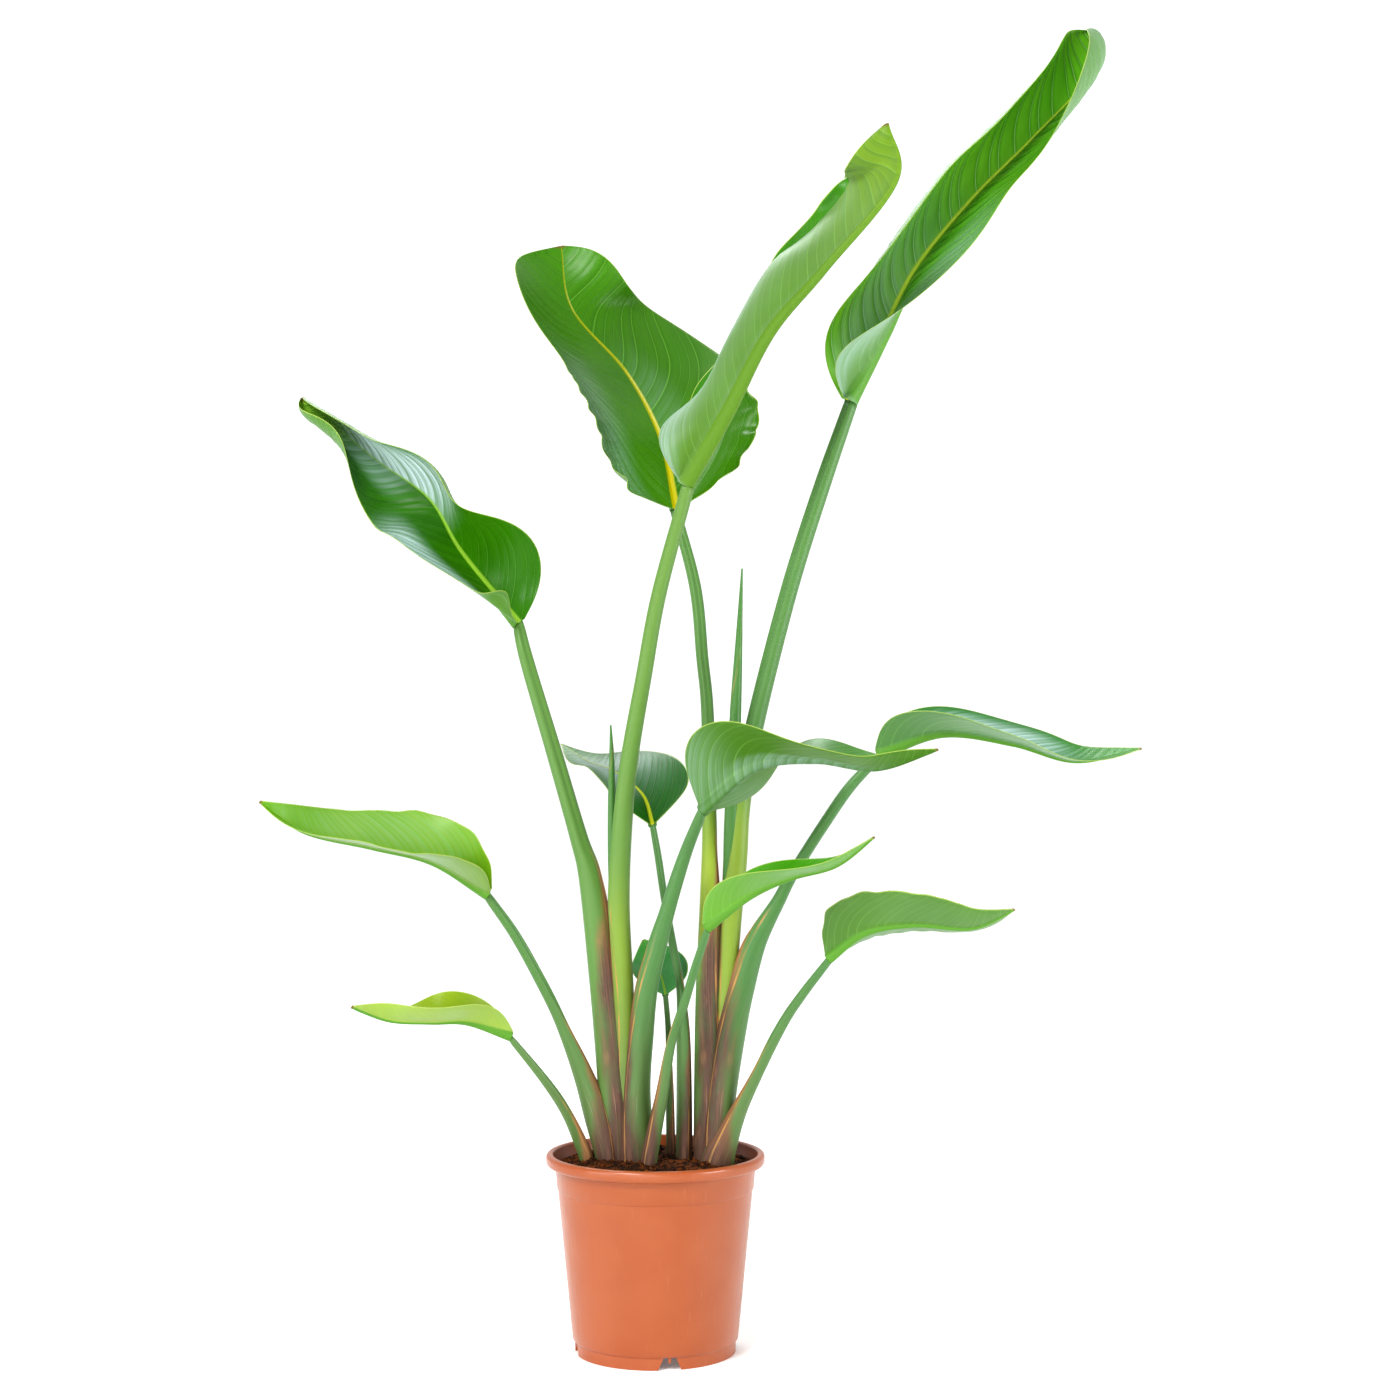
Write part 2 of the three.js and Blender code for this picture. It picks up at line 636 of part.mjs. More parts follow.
function potGeometry() {
  let solid = toSolid(turned(potProfile(), POT.sides));
  const outline = new THREE.Shape([
    new THREE.Vector2(-POT.notchFoot / 2, -1),
    new THREE.Vector2(POT.notchFoot / 2, -1),
    new THREE.Vector2(POT.notchTop / 2, POT.notchHeight),
    new THREE.Vector2(-POT.notchTop / 2, POT.notchHeight),
  ]);
  for (let i = 0; i < POT.notchCount; i += 1) {
    const azimuth = POT.notchAzimuth + 360 * i / POT.notchCount;
    const notch = new THREE.ExtrudeGeometry(outline, { depth: POT.notchReach, bevelEnabled: false });
    notch.rotateX(Math.PI / 2);
    notch.rotateZ(Math.PI / 2);
    notch.translate(POT.footRadius - POT.notchReach / 2, 0, 0);
    const drain = new THREE.CylinderGeometry(POT.drainRadius, POT.drainRadius, 2 * POT.floorTop, 10);
    drain.rotateX(Math.PI / 2);
    drain.translate(POT.drainPlace, 0, POT.floorTop);
    const rib = new THREE.BoxGeometry(POT.footWall - 0.8, POT.ribWidth, POT.ribHeight);
    rib.translate(POT.footRadius - POT.footWall / 2, 0, POT.notchHeight + 1 - POT.ribHeight / 2);
    solid = solid.subtract(toSolid(placeRound(notch, azimuth)));
    solid = solid.subtract(toSolid(placeRound(drain, azimuth)));
    solid = solid.add(toSolid(placeRound(rib, azimuth)));
  }
  return toGeometry(solid);
}

function soilBump(x, y) {
  return SOIL.roughness * (0.5 * Math.sin(x / 9 + 1.3) * Math.cos(y / 11) + 0.35 * Math.sin((x + y) / 6.5)
    + 0.25 * Math.cos((x - 2 * y) / 8 + 0.6));
}

function soilGeometry() {
  const foot = POT.floorTop + SOIL.floorGap;
  const edge = wallRadius(SOIL.level) - POT.wall - SOIL.wallGap - 1;
  const profile = [
    [0, foot],
    [wallRadius(POT.floorTop) - POT.wall - 2 - 2 * SOIL.wallGap, foot],
    [wallRadius(POT.floorTop + 3) - POT.wall - 2 * SOIL.wallGap, foot + 4],
    [edge, SOIL.level],
    ...SOIL.rings.toReversed().map((r) => [r, SOIL.level]),
    [0, SOIL.level],
  ];
  const geometry = turned(profile, SOIL.sides);
  const p = geometry.getAttribute('position');
  for (let i = 0; i < p.count; i += 1) {
    if (p.getZ(i) > SOIL.level - 1) {
      p.setZ(i, SOIL.level + soilBump(p.getX(i), p.getY(i)));
    }
  }
  let solid = toSolid(geometry);
  for (const fan of Object.values(FANS)) {
    for (const name of fan.filter((member) => LEAVES[member])) {
      solid = solid.subtract(toSolid(stalkGeometry(rowsOf(name), LEAVES[name], GAP)));
    }
  }
  return toGeometry(solid);
}

const plant = new THREE.Group();

function addPiece(name, geometry, kind) {
  const [color, roughness] = COLOURS[kind];
  const material = new THREE.MeshStandardMaterial({ color, roughness, metalness: 0 });
  const mesh = new THREE.Mesh(geometry, material);
  mesh.name = name;
  plant.add(mesh);
}

addPiece('pot', potGeometry(), 'pot');
addPiece('soil', soilGeometry(), 'soil');
for (const fan of Object.values(FANS)) {
  fan.forEach((name, order) => {
    const younger = fan.slice(0, order);
    if (LEAVES[name]) {
      addPiece(`${name}_stalk`, sheathedStalk(name, younger), 'stalk');
      addPiece(`${name}_blade`, bladeGeometry(LEAVES[name]), 'blade');
    } else {
      addPiece(name, sheathedStalk(name, younger), 'spear');
    }
  });
}

export default plant;
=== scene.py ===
"""Looks of the potted bird of paradise.

Each leaf is a grooved stalk and a pleated blade, made from the same few measures as the solid it
stands for, with finer rows, the side veins, the papery sheath edges and the finishes added. Lengths
in the tables are millimetres and angles are degrees; meshes are in metres. +Z is up, the origin is
the middle of the pot's foot and the front faces -Y.
"""

import logging
import math
from dataclasses import dataclass, field
from enum import Enum

import bpy
import numpy as np
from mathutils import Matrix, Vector, noise


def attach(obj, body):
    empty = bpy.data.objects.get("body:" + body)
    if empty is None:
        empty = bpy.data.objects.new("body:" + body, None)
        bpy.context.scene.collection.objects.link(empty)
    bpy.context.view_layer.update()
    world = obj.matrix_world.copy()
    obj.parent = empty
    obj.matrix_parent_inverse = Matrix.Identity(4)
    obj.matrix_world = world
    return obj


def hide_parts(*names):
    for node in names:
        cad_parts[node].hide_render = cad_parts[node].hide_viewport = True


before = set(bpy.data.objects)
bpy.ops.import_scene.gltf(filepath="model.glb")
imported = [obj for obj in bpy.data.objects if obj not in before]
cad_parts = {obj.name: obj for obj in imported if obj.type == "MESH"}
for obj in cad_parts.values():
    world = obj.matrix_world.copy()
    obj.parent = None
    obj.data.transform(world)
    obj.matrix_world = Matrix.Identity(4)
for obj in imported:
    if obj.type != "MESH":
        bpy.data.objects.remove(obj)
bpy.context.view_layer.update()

log = logging.getLogger("bird_of_paradise")
MM = 0.001
SEED = 21
TURN = 2 * math.pi

Table = np.ndarray
Object = bpy.types.Object
Material = bpy.types.Material
Socket = bpy.types.NodeSocket


# Numbers and curves


def linear(code: str) -> tuple[float, float, float, float]:
    """Turns an sRGB hex colour into linear light.

    Args:
        code: six hex digits, such as "dd7b50".

    Returns:
        Red, green, blue and an alpha of one.
    """
    parts = [int(code[i : i + 2], 16) / 255 for i in (0, 2, 4)]
    parts = [p / 12.92 if p <= 0.04045 else ((p + 0.055) / 1.055) ** 2.4 for p in parts]
    return (parts[0], parts[1], parts[2], 1.0)


def smooth(low: float, high: float, value: Table | float) -> Table:
    """Runs smoothly from 0 at low to 1 at high.

    Args:
        low: where it starts to rise.
        high: where it reaches one; it may lie below low.
        value: the values to map.

    Returns:
        The mapped values, between 0 and 1.
    """
    x = np.clip((np.asarray(value, float) - low) / (high - low), 0, 1)
    return x * x * (3 - 2 * x)


def bell(distance: Table, width: float) -> Table:
    """Falls from 1 where the distance is none to about a third at one width."""
    return np.exp(-((distance / width) ** 2))


def curve(points: Table | list, t: Table) -> Table:
    """Reads a smooth curve that runs evenly through its points.

    Args:
        points: the points, or single numbers, that it runs through.
        t: where to read it, from 0 at the first point to 1 at the last.

    Returns:
        One row, or one number, for each t.
    """
    p = np.asarray(points, float)
    flat = p.ndim == 1
    p = p[:, None] if flat else p
    ends = np.vstack([2 * p[0] - p[1], p, 2 * p[-1] - p[-2]])
    place = np.clip(t, 0, 1) * (len(p) - 1)
    i = np.minimum(place.astype(int), len(p) - 2)
    u = (place - i)[:, None]
    a, b, c, d = ends[i], ends[i + 1], ends[i + 2], ends[i + 3]
    found = b + 0.5 * u * (c - a + u * (2 * a - 5 * b + 4 * c - d + u * (3 * (b - c) + d - a)))
    return found[:, 0] if flat else found


def unit(rows: Table) -> Table:
    """Scales rows of vectors to length one."""
    return rows / np.maximum(np.linalg.norm(rows, axis=-1, keepdims=True), 1e-12)


def heading(points: list, t: Table, near: float = 1e-3) -> Table:
    """Gives the direction of a curve at t, read a little before and after it."""
    return unit(curve(points, t + near) - curve(points, t - near))


def travelled(path: Table) -> Table:
    """Gives the way along a path from its start to each of its points."""
    return np.concatenate([[0], np.cumsum(np.linalg.norm(np.diff(path, axis=0), axis=1))])


def ring_angles(count: int) -> Table:
    """Spreads a number of angles evenly over a full turn."""
    return np.linspace(0, TURN, count, endpoint=False)


def wrapped(angle: Table) -> Table:
    """Brings angles to within half a turn of zero."""
    return np.angle(np.exp(1j * angle))


def slopes(sheet: Table) -> tuple[Table, Table]:
    """Gives the way across and the normal at each place of a sheet of rows and columns."""
    ahead, across = np.gradient(sheet, axis=0), np.gradient(sheet, axis=1)
    return across, unit(np.cross(across, ahead))


# Meshes


def deselect() -> None:
    """Deselects every object."""
    bpy.ops.object.select_all(action="DESELECT")


def pick_only(obj: Object) -> None:
    """Deselects everything, then selects one object and makes it active.

    Args:
        obj: the object.
    """
    deselect()
    obj.select_set(True)
    bpy.context.view_layer.objects.active = obj


def bake_transform() -> None:
    """Moves the selected objects' place, turn and size into their meshes."""
    bpy.ops.object.transform_apply(location=True, rotation=True, scale=True)


def turn_normals_out() -> None:
    """Makes all the faces of the mesh in edit mode look outwards, and leaves edit mode."""
    bpy.ops.mesh.select_all(action="SELECT")
    bpy.ops.mesh.normals_make_consistent(inside=False)
    bpy.ops.object.mode_set(mode="OBJECT")


def skin(name: str, places: Table, uv: dict[str, Table], values: dict[str, Table]) -> Object:
    """Wraps a grid primitive round a table of places and closes its two ends.

    Args:
        name: the piece's name.
        places: rows by ring by 3, in millimetres; the ring closes on itself.
        uv: map name to rows by ring by 2.
        values: attribute name to rows by ring.

    Returns:
        The closed, smooth shaded mesh object.
    """
    rows, ring = places.shape[:2]
    deselect()
    bpy.ops.mesh.primitive_grid_add(x_subdivisions=ring, y_subdivisions=rows - 1, size=1, calc_uvs=False)
    obj = bpy.context.object
    obj.name = obj.data.name = name
    mesh = obj.data
    at = np.zeros(len(mesh.vertices) * 3)
    mesh.vertices.foreach_get("co", at)
    at = at.reshape(-1, 3)
    column = np.rint((at[:, 0] + 0.5) * ring).astype(int) % ring
    row = np.rint((at[:, 1] + 0.5) * (rows - 1)).astype(int)
    mesh.vertices.foreach_set("co", (places[row, column] * MM).ravel())
    corner = np.zeros(len(mesh.loops), int)
    mesh.loops.foreach_get("vertex_index", corner)
    for layer, table in uv.items():
        mesh.uv_layers.new(name=layer).data.foreach_set("uv", table[row, column][corner].ravel())
    for attribute, table in values.items():
        made = mesh.attributes.new(attribute, "FLOAT", "POINT")
        made.data.foreach_set("value", table[row, column].astype(np.float32).ravel())
    bpy.ops.object.mode_set(mode="EDIT")
    bpy.ops.mesh.select_all(action="SELECT")
    bpy.ops.mesh.remove_doubles(threshold=1e-6)
    bpy.ops.mesh.select_all(action="DESELECT")
    bpy.ops.mesh.select_non_manifold()
    bpy.ops.mesh.fill_holes(sides=0)
    turn_normals_out()
    bpy.ops.object.shade_smooth()
    return obj


def settle(obj: Object, material: Material, slot: str, *nodes: str) -> None:
    """Dresses a finished piece and ties it to the frame.

    Args:
        obj: the piece.
        material: its finish.
        slot: the record's material slot; it is not used.
        *nodes: the names of the solids that it stands for.
    """
    obj.data.materials.clear()
    obj.data.materials.append(material)
    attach(obj, "root")
    if nodes:
        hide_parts(*nodes)
    log.info("%s: %d faces", obj.name, len(obj.data.polygons))


# Materials


def add_node(tree: bpy.types.NodeTree, kind: str, values: dict) -> bpy.types.Node:
    """Adds one shader node.

    Args:
        tree: the material's node tree.
        kind: the node's type name.
        values: its properties by name, and its inputs by name or number. An input takes a
            number, a vector, a hex colour or the output that feeds it.

    Returns:
        The new node.
    """
    node = tree.nodes.new(kind)
    for key, value in values.items():
        if isinstance(value, Socket):
            tree.links.new(value, node.inputs[key])
        elif isinstance(key, int) or key in node.inputs:
            node.inputs[key].default_value = linear(value) if isinstance(value, str) else value
        else:
            setattr(node, key, value)
    return node


@dataclass(frozen=True)
class Step:
    """A step of a pattern, taken by one node.

    Attributes:
        kind: the node's type name.
        takes: its inputs or properties, in the order in which they are given.
        gives: its output.
        always: the settings that every such step has.
    """

    kind: str
    takes: tuple[int | str, ...]
    gives: int | str = 0
    always: dict = field(default_factory=dict)


TIMES, PLUS, MINUS = (
    Step("ShaderNodeMath", (0, 1), 0, {"operation": name}) for name in ("MULTIPLY", "ADD", "SUBTRACT")
)
GAIN = Step("ShaderNodeMath", (0, 1, 2), 0, {"operation": "MULTIPLY_ADD"})
ABSOLUTE, FRACTION = (Step("ShaderNodeMath", (0,), 0, {"operation": name}) for name in ("ABSOLUTE", "FRACT"))
RANGES = ("Value", "From Min", "From Max", "To Min", "To Max")
RAMP = Step("ShaderNodeMapRange", RANGES, 0, {"interpolation_type": "SMOOTHSTEP"})
BLEND = Step("ShaderNodeMix", (0, 6, 7), 2, {"data_type": "RGBA"})
NOISE = ("Vector", "Scale", "Detail", "Roughness")
CLOUD = Step("ShaderNodeTexNoise", NOISE, "Fac", {"Detail": 3.0, "Roughness": 0.55})
VALUE = Step("ShaderNodeAttribute", ("attribute_name",), "Fac")
CHART = Step("ShaderNodeUVMap", ("uv_map",))
FIRST, SECOND = (Step("ShaderNodeSeparateXYZ", (0,), axis) for axis in "XY")
JOIN = Step("ShaderNodeCombineXYZ", (0, 1, 2))
PLACE = Step("ShaderNodeTexCoord", (), "Object")
STRETCH = Step("ShaderNodeMapping", ("Vector", "Scale"))
FACING = Step("ShaderNodeLayerWeight", ("Blend",), "Facing")


@dataclass
class Paint:
    """A material under construction, with short ways to combine values."""

    name: str

    def __post_init__(self) -> None:
        """Makes the empty material."""
        self.material = bpy.data.materials.new(self.name)
        self.material.use_nodes = True
        self.tree = self.material.node_tree
        self.tree.nodes.clear()

    def add(self, step: Step, *inputs: object) -> Socket:
        """Adds a step to this material.

        Args:
            step: the step, with what its node takes and gives.
            *inputs: numbers, names, hex colours or outputs, in the step's order.

        Returns:
            The step's output.
        """
        values = step.always | dict(zip(step.takes, inputs))
        return add_node(self.tree, step.kind, values).outputs[step.gives]

    def apart(self, a: object, b: object) -> Socket:
        """Gives how far two numbers or outputs are apart."""
        return self.add(ABSOLUTE, self.add(MINUS, a, b))

    def coat(self, colour: object, *coats: tuple[object, object]) -> Socket:
        """Lays coats over a colour one by one.

        Args:
            colour: a hex colour or an output.
            *coats: for each its amount and its colour.

        Returns:
            The colour's output.
        """
        for amount, tint in coats:
            colour = self.add(BLEND, amount, colour, tint)
        return colour

    def chart(self, name: str) -> tuple[Socket, Socket]:
        """Reads the two numbers of one of the mesh's own maps."""
        flat = self.add(CHART, name)
        return self.add(FIRST, flat), self.add(SECOND, flat)

    def streaks(self, *ways: tuple[Socket, float], detail: float = 3.0, rough: float = 0.55) -> Socket:
        """Gives a soft noise that is drawn out along one way of a map.

        Args:
            *ways: the map's two numbers, each with the noise's cells per unit of it.
            detail: how many finer layers it has.
            rough: how strong the finer layers are.

        Returns:
            The noise's output.
        """
        drawn = self.add(JOIN, *(self.add(TIMES, *way) for way in ways))
        return self.add(CLOUD, drawn, 1.0, detail, rough)

    def finish(self, surface: dict, bump: Socket | None = None, height: float = 0.0) -> Material:
        """Adds the surface shader and the output.

        Args:
            surface: the shader's inputs.
            bump: a height between 0 and 1, or none.
            height: how many millimetres a height of 1 stands for.

        Returns:
            The finished material.
        """
        if bump is not None:
            relief = {"Strength": 1.0, "Distance": height * MM, "Height": bump}
            surface = surface | {"Normal": add_node(self.tree, "ShaderNodeBump", relief).outputs[0]}
        shader = add_node(self.tree, "ShaderNodeBsdfPrincipled", surface).outputs[0]
        add_node(self.tree, "ShaderNodeOutputMaterial", {"Surface": shader})
        return self.material


# Finishes


class Side(Enum):
    """A side of a fan, or a half of a blade seen from its upper face with the tip away."""

    LEFT = -1
    RIGHT = 1


class Face(Enum):
    """A face of a blade."""

    UPPER = 1
    UNDER = 0


LEFT, RIGHT = Side
UPPER, UNDER = Face


@dataclass(frozen=True)
class PaintedLightBand:
    """A streaky band painted on a blade: painted sheen, painted shade or painted light.

    Attributes:
        half: the half it lies on.
        face: the face it lies on.
        along: the band's middle along the leaf, 0 to 1.
        long: how far it reaches along from there.
        reach: its middle between midrib and margin, 0 to 1.
        wide: how far it reaches across from there.
        strength: how much of the tint shows in its middle.
        tint: its colour, the bluish white of a painted sheen or a green of painted shade or light.
    """

    half: Side
    face: Face
    along: float
    long: float
    reach: float
    wide: float
    strength: float
    tint: str = "c4dadb"


def both(*measures: object) -> tuple[PaintedLightBand, PaintedLightBand]:
    """Lays the same painted band on both halves of a blade."""
    return PaintedLightBand(LEFT, *measures), PaintedLightBand(RIGHT, *measures)


@dataclass(frozen=True)
class BladeFinish:
    """Living leaf tissue under a coat of wax.

    The wax makes the deep green upper face glossy. Bands of painted sheen, shade and light lie on it,
    with painted shade beside the side veins and a painted glow towards the tip. The underside is
    paler and duller, with a painted sheen of its wax where it turns away from the eye. Side veins
    and a pale margin show on both.
    """

    upper: str = "3f8400"
    upper_dark: str = "286400"
    # Painted glow towards the tip, where light passes through the leaf.
    painted_tip_glow: str = "489a04"
    vein: str = "78b83c"
    vein_line: float = 0.4
    veinlet: str = "5fae20"
    # How much painted shade darkens each pleat beside its side vein.
    painted_pleat_shading: float = 0.4
    # Bands of painted sheen, painted shade and painted light.
    painted_light_bands: tuple[PaintedLightBand, ...] = ()
    under: str = "4a761a"
    under_pale: str = "6ea032"
    under_dark: str = "41761c"
    under_vein: str = "86b85a"
    # The wax's pale colour, painted as a sheen where the underside turns away from the eye.
    painted_bloom_sheen: str = "a9c4ae"
    midrib: str = "86b032"
    rib_far: float = 0.5
    rib_wide: float = 0.62
    keel: str = "568a2a"
    margin: str = "a6b858"
    dry: str = "6e5426"

    def make(self, name: str) -> Material:
        """Builds the material.

        Args:
            name: the material's name.

        Returns:
            The finished material.
        """
        p = Paint(name)
        # The map counts side veins along the leaf, and metres across it from the midrib.
        veins, across = p.chart("veins")
        top = p.add(RAMP, p.add(VALUE, "upper"), 0.4, 0.6)
        along, rib = p.add(VALUE, "along"), p.add(VALUE, "rib")
        cell = p.apart(p.add(FRACTION, veins), 0.5)
        vein = p.add(RAMP, cell, 0.458, 0.5)
        # There are five fine veins to each side vein.
        veinlet = p.add(RAMP, p.apart(p.add(FRACTION, p.add(TIMES, veins, 5.0)), 0.5), 0.36, 0.5)
        grain = p.streaks((veins, 14.0), (across, 40.0))
        patch = p.streaks((veins, 0.25), (across, 18.0), detail=2.0)
        green = p.coat(
            p.add(BLEND, patch, self.upper_dark, self.upper),
            (p.add(TIMES, grain, 0.28), self.upper_dark),
            # Painted glow towards the tip, where light passes through the leaf.
            (p.add(RAMP, along, 0.55, 1.0, 0.0, 0.4), self.painted_tip_glow),
            # Painted shade on each pleat beside its side vein.
            (p.add(RAMP, cell, 0.2, 0.46, 0.0, self.painted_pleat_shading), self.upper_dark),
            (p.add(TIMES, vein, self.vein_line), self.vein),
            (p.add(TIMES, veinlet, 0.08), self.veinlet),
        )
        facing = p.add(FACING, 0.3)
        pale = p.coat(
            p.add(BLEND, patch, self.under, p.add(BLEND, 0.3, self.under, self.under_pale)),
            (p.add(TIMES, grain, 0.25), self.under_dark),
            (p.add(TIMES, vein, 0.35), self.under_vein),
            # Painted sheen: the underside is paled where it turns away from the eye.
            (p.add(TIMES, facing, p.add(GAIN, patch, 0.5, 0.15)), self.painted_bloom_sheen),
            (p.add(RAMP, rib, 1.35, 0.95), self.keel),
        )
        groove = p.add(TIMES, p.add(RAMP, rib, self.rib_wide, 0.5 * self.rib_wide), top)
        colour = p.coat(
            self.lay_painted_light(p, p.add(BLEND, top, pale, green), veins, across, top),
            (p.add(TIMES, groove, p.add(RAMP, along, 0.1, 0.8, 1.0, self.rib_far)), self.midrib),
            (p.add(RAMP, p.add(VALUE, "edge"), 1.2 * MM, 0.4 * MM, 0.0, 0.7), self.margin),
            (p.add(RAMP, along, 0.985, 1.0), self.dry),
        )
        relief = p.add(PLUS, p.add(TIMES, grain, 0.35), p.add(TIMES, veinlet, -0.25))
        rough = p.add(PLUS, p.add(TIMES, top, -0.16), p.add(GAIN, grain, 0.12, 0.42))
        return p.finish({"Base Color": colour, "Roughness": rough, "IOR": 1.33}, relief, 0.12)

    def lay_painted_light(self, p: Paint, colour: Socket, veins: Socket, across: Socket, top: Socket) -> Socket:
        """Lays the painted bands of sheen, shade and light over a colour.

        Args:
            p: the material.
            colour: the colour below them.
            veins: the side vein count.
            across: metres from the midrib, below zero on the left half.
            top: 1 on the upper face, 0 on the underside.

        Returns:
            The colour's output.
        """
        # The painted sheen and shade are strongest on one side of each pleat and broken into fine streaks.
        streak = p.streaks((veins, 4.5), (across, 12.0))
        painted_pleat_shading = p.add(RAMP, p.add(FRACTION, veins), 1.0, 0.1, 0.5, 1.0)
        painted_streaks = p.add(TIMES, painted_pleat_shading, p.add(RAMP, streak, 0.3, 0.65, 0.55, 1.0))
        # Each band paints sheen, shade or light in its tint.
        for band in self.painted_light_bands:
            far = p.apart(p.add(VALUE, "along"), band.along)
            off = p.apart(p.add(VALUE, "reach"), band.reach)
            inside = p.add(RAMP, off, band.wide, 0.2 * band.wide)
            amount = p.add(TIMES, p.add(RAMP, far, band.long, 0.2 * band.long), inside)
            here = p.add(RAMP, p.add(TIMES, across, band.half.value), -MM, MM)
            face = top if band.face is UPPER else p.add(MINUS, 1.0, top)
            amount = p.add(TIMES, p.add(TIMES, amount, here), p.add(TIMES, face, painted_streaks))
            colour = p.add(BLEND, p.add(TIMES, amount, band.strength), colour, band.tint)
        return colour


@dataclass(frozen=True)
class StalkFinish:
    """Living stalk, grown smooth and fibrous, with its dead sheath margins below.

    A painted sheen of its wax pales it where it turns away from the eye.
    Towards the soil it dulls to olive.
    The sheath is brown and papery there, purplish in patches, with a tan edge and pale scurf.
    """

    green: str = "4c7a38"
    deep: str = "3e6a3a"
    # The wax's pale colour, painted as a sheen where the stalk turns away from the eye.
    painted_bloom_sheen: str = "7fa07f"
    young: str = "9aa818"
    light: str = "5d822f"
    olive: str = "5a703c"
    bract: str = "6e4c3c"
    bract_dark: str = "3e2b25"
    bract_pale: str = "97754f"
    purple: str = "4a2a30"
    tan: str = "b07a48"
    margin: str = "b98a50"
    scurf: str = "b9b8a4"

    def make(self, name: str) -> Material:
        """Builds the material.

        Args:
            name: the material's name.

        Returns:
            The finished material.
        """
        p = Paint(name)
        # The map holds metres round the stalk from the sheath's margin, and metres up it. Fibres are
        # about a millimetre wide and 7 cm long.
        around, along = p.chart("round")
        fibre = p.streaks((around, 900.0), (along, 14.0), detail=4.0, rough=0.6)
        mottle = p.streaks((around, 90.0), (along, 22.0))
        patch = p.streaks((around, 45.0), (along, 9.0), detail=2.0)
        facing = p.add(FACING, 0.35)
        low = p.add(VALUE, "low")
        green = p.coat(
            p.add(BLEND, p.add(RAMP, fibre, 0.1, 0.75, 0.2, 0.9), self.deep, self.green),
            (p.add(VALUE, "light"), self.light),
            (p.add(TIMES, p.add(VALUE, "young"), 0.9), self.young),
            # Painted sheen where the stalk turns away from the eye.
            (p.add(TIMES, facing, 0.3), self.painted_bloom_sheen),
            (p.add(TIMES, low, p.add(RAMP, mottle, 0.2, 0.7, 0.5, 0.95)), self.olive),
        )
        brown = p.coat(
            p.add(BLEND, p.add(RAMP, fibre, 0.3, 0.7), self.bract_dark, self.bract),
            (p.add(RAMP, mottle, 0.5, 0.8, 0.0, 0.7), self.bract_pale),
            (p.add(RAMP, patch, 0.45, 0.62, 0.0, 0.6), self.purple),
            (p.add(TIMES, p.add(VALUE, "high"), 0.75), self.tan),
        )
        # The brown ends in ragged streaks, further in or out from patch to patch.
        ragged = p.add(VALUE, "bract")
        for pattern, size, middle in ((fibre, 0.7, -0.35), (mottle, 0.8, -0.4), (patch, -1.6, 0.62)):
            ragged = p.add(PLUS, ragged, p.add(GAIN, pattern, size, middle))
        line = p.add(TIMES, p.add(RAMP, p.add(ABSOLUTE, around), 1.6 * MM, 0.5 * MM), p.add(VALUE, "paper"))
        colour = p.coat(
            green,
            (p.add(TIMES, p.add(RAMP, ragged, 0.1, 0.9), p.add(RAMP, mottle, 0.1, 0.5, 0.8, 1.0)), brown),
            (p.add(TIMES, line, p.add(RAMP, mottle, 0.35, 0.62, 0.15, 0.9)), self.margin),
            (p.add(TIMES, p.add(RAMP, fibre, 0.6, 0.78), p.add(TIMES, low, 0.4)), self.scurf),
        )
        relief = p.add(PLUS, p.add(TIMES, fibre, 0.6), p.add(TIMES, line, 0.4))
        rough = p.add(GAIN, p.add(VALUE, "bract"), 0.22, p.add(GAIN, mottle, 0.14, 0.36))
        return p.finish({"Base Color": colour, "Roughness": rough, "IOR": 1.45}, relief, 0.09)


@dataclass(frozen=True)
class PotFinish:
    """Injection moulded polypropylene, terracotta coloured.

    The mould leaves a satin skin that mirrors softly at the sides, a fine grain, cloudy flow
    marks and pale upright scuffs.
    """

    body: str = "9a4a1c"
    light: str = "a25528"
    scuffed: str = "d49a78"

    def make(self) -> Material:
        """Builds the material.

        Returns:
            The finished material.
        """
        p = Paint("moulded_polypropylene_terracotta")
        place = p.add(PLACE)
        # Flow marks are about 4 cm wide, and scuffs 4 mm wide and 4 cm tall. The grain is half a
        # millimetre, as fine as a render shows.
        flow, grain = p.add(CLOUD, place, 24.0, 2.0), p.add(CLOUD, place, 1900.0, 2.0)
        scuff = p.add(CLOUD, p.add(STRETCH, place, (260, 260, 26)), 1.0)
        colour = p.coat(
            self.body,
            (p.add(RAMP, flow, 0.3, 0.7, 0.0, 0.4), self.light),
            (p.add(RAMP, scuff, 0.62, 0.8, 0.0, 0.12), self.scuffed),
        )
        rough = p.add(GAIN, p.add(RAMP, scuff, 0.4, 0.8), 0.12, 0.34)
        relief = p.add(PLUS, p.add(TIMES, grain, 0.5), p.add(TIMES, scuff, 0.4))
        satin = {"IOR": 1.49, "Coat Weight": 0.3, "Coat Roughness": 0.14}
        return p.finish(satin | {"Base Color": colour, "Roughness": rough}, relief, 0.08)


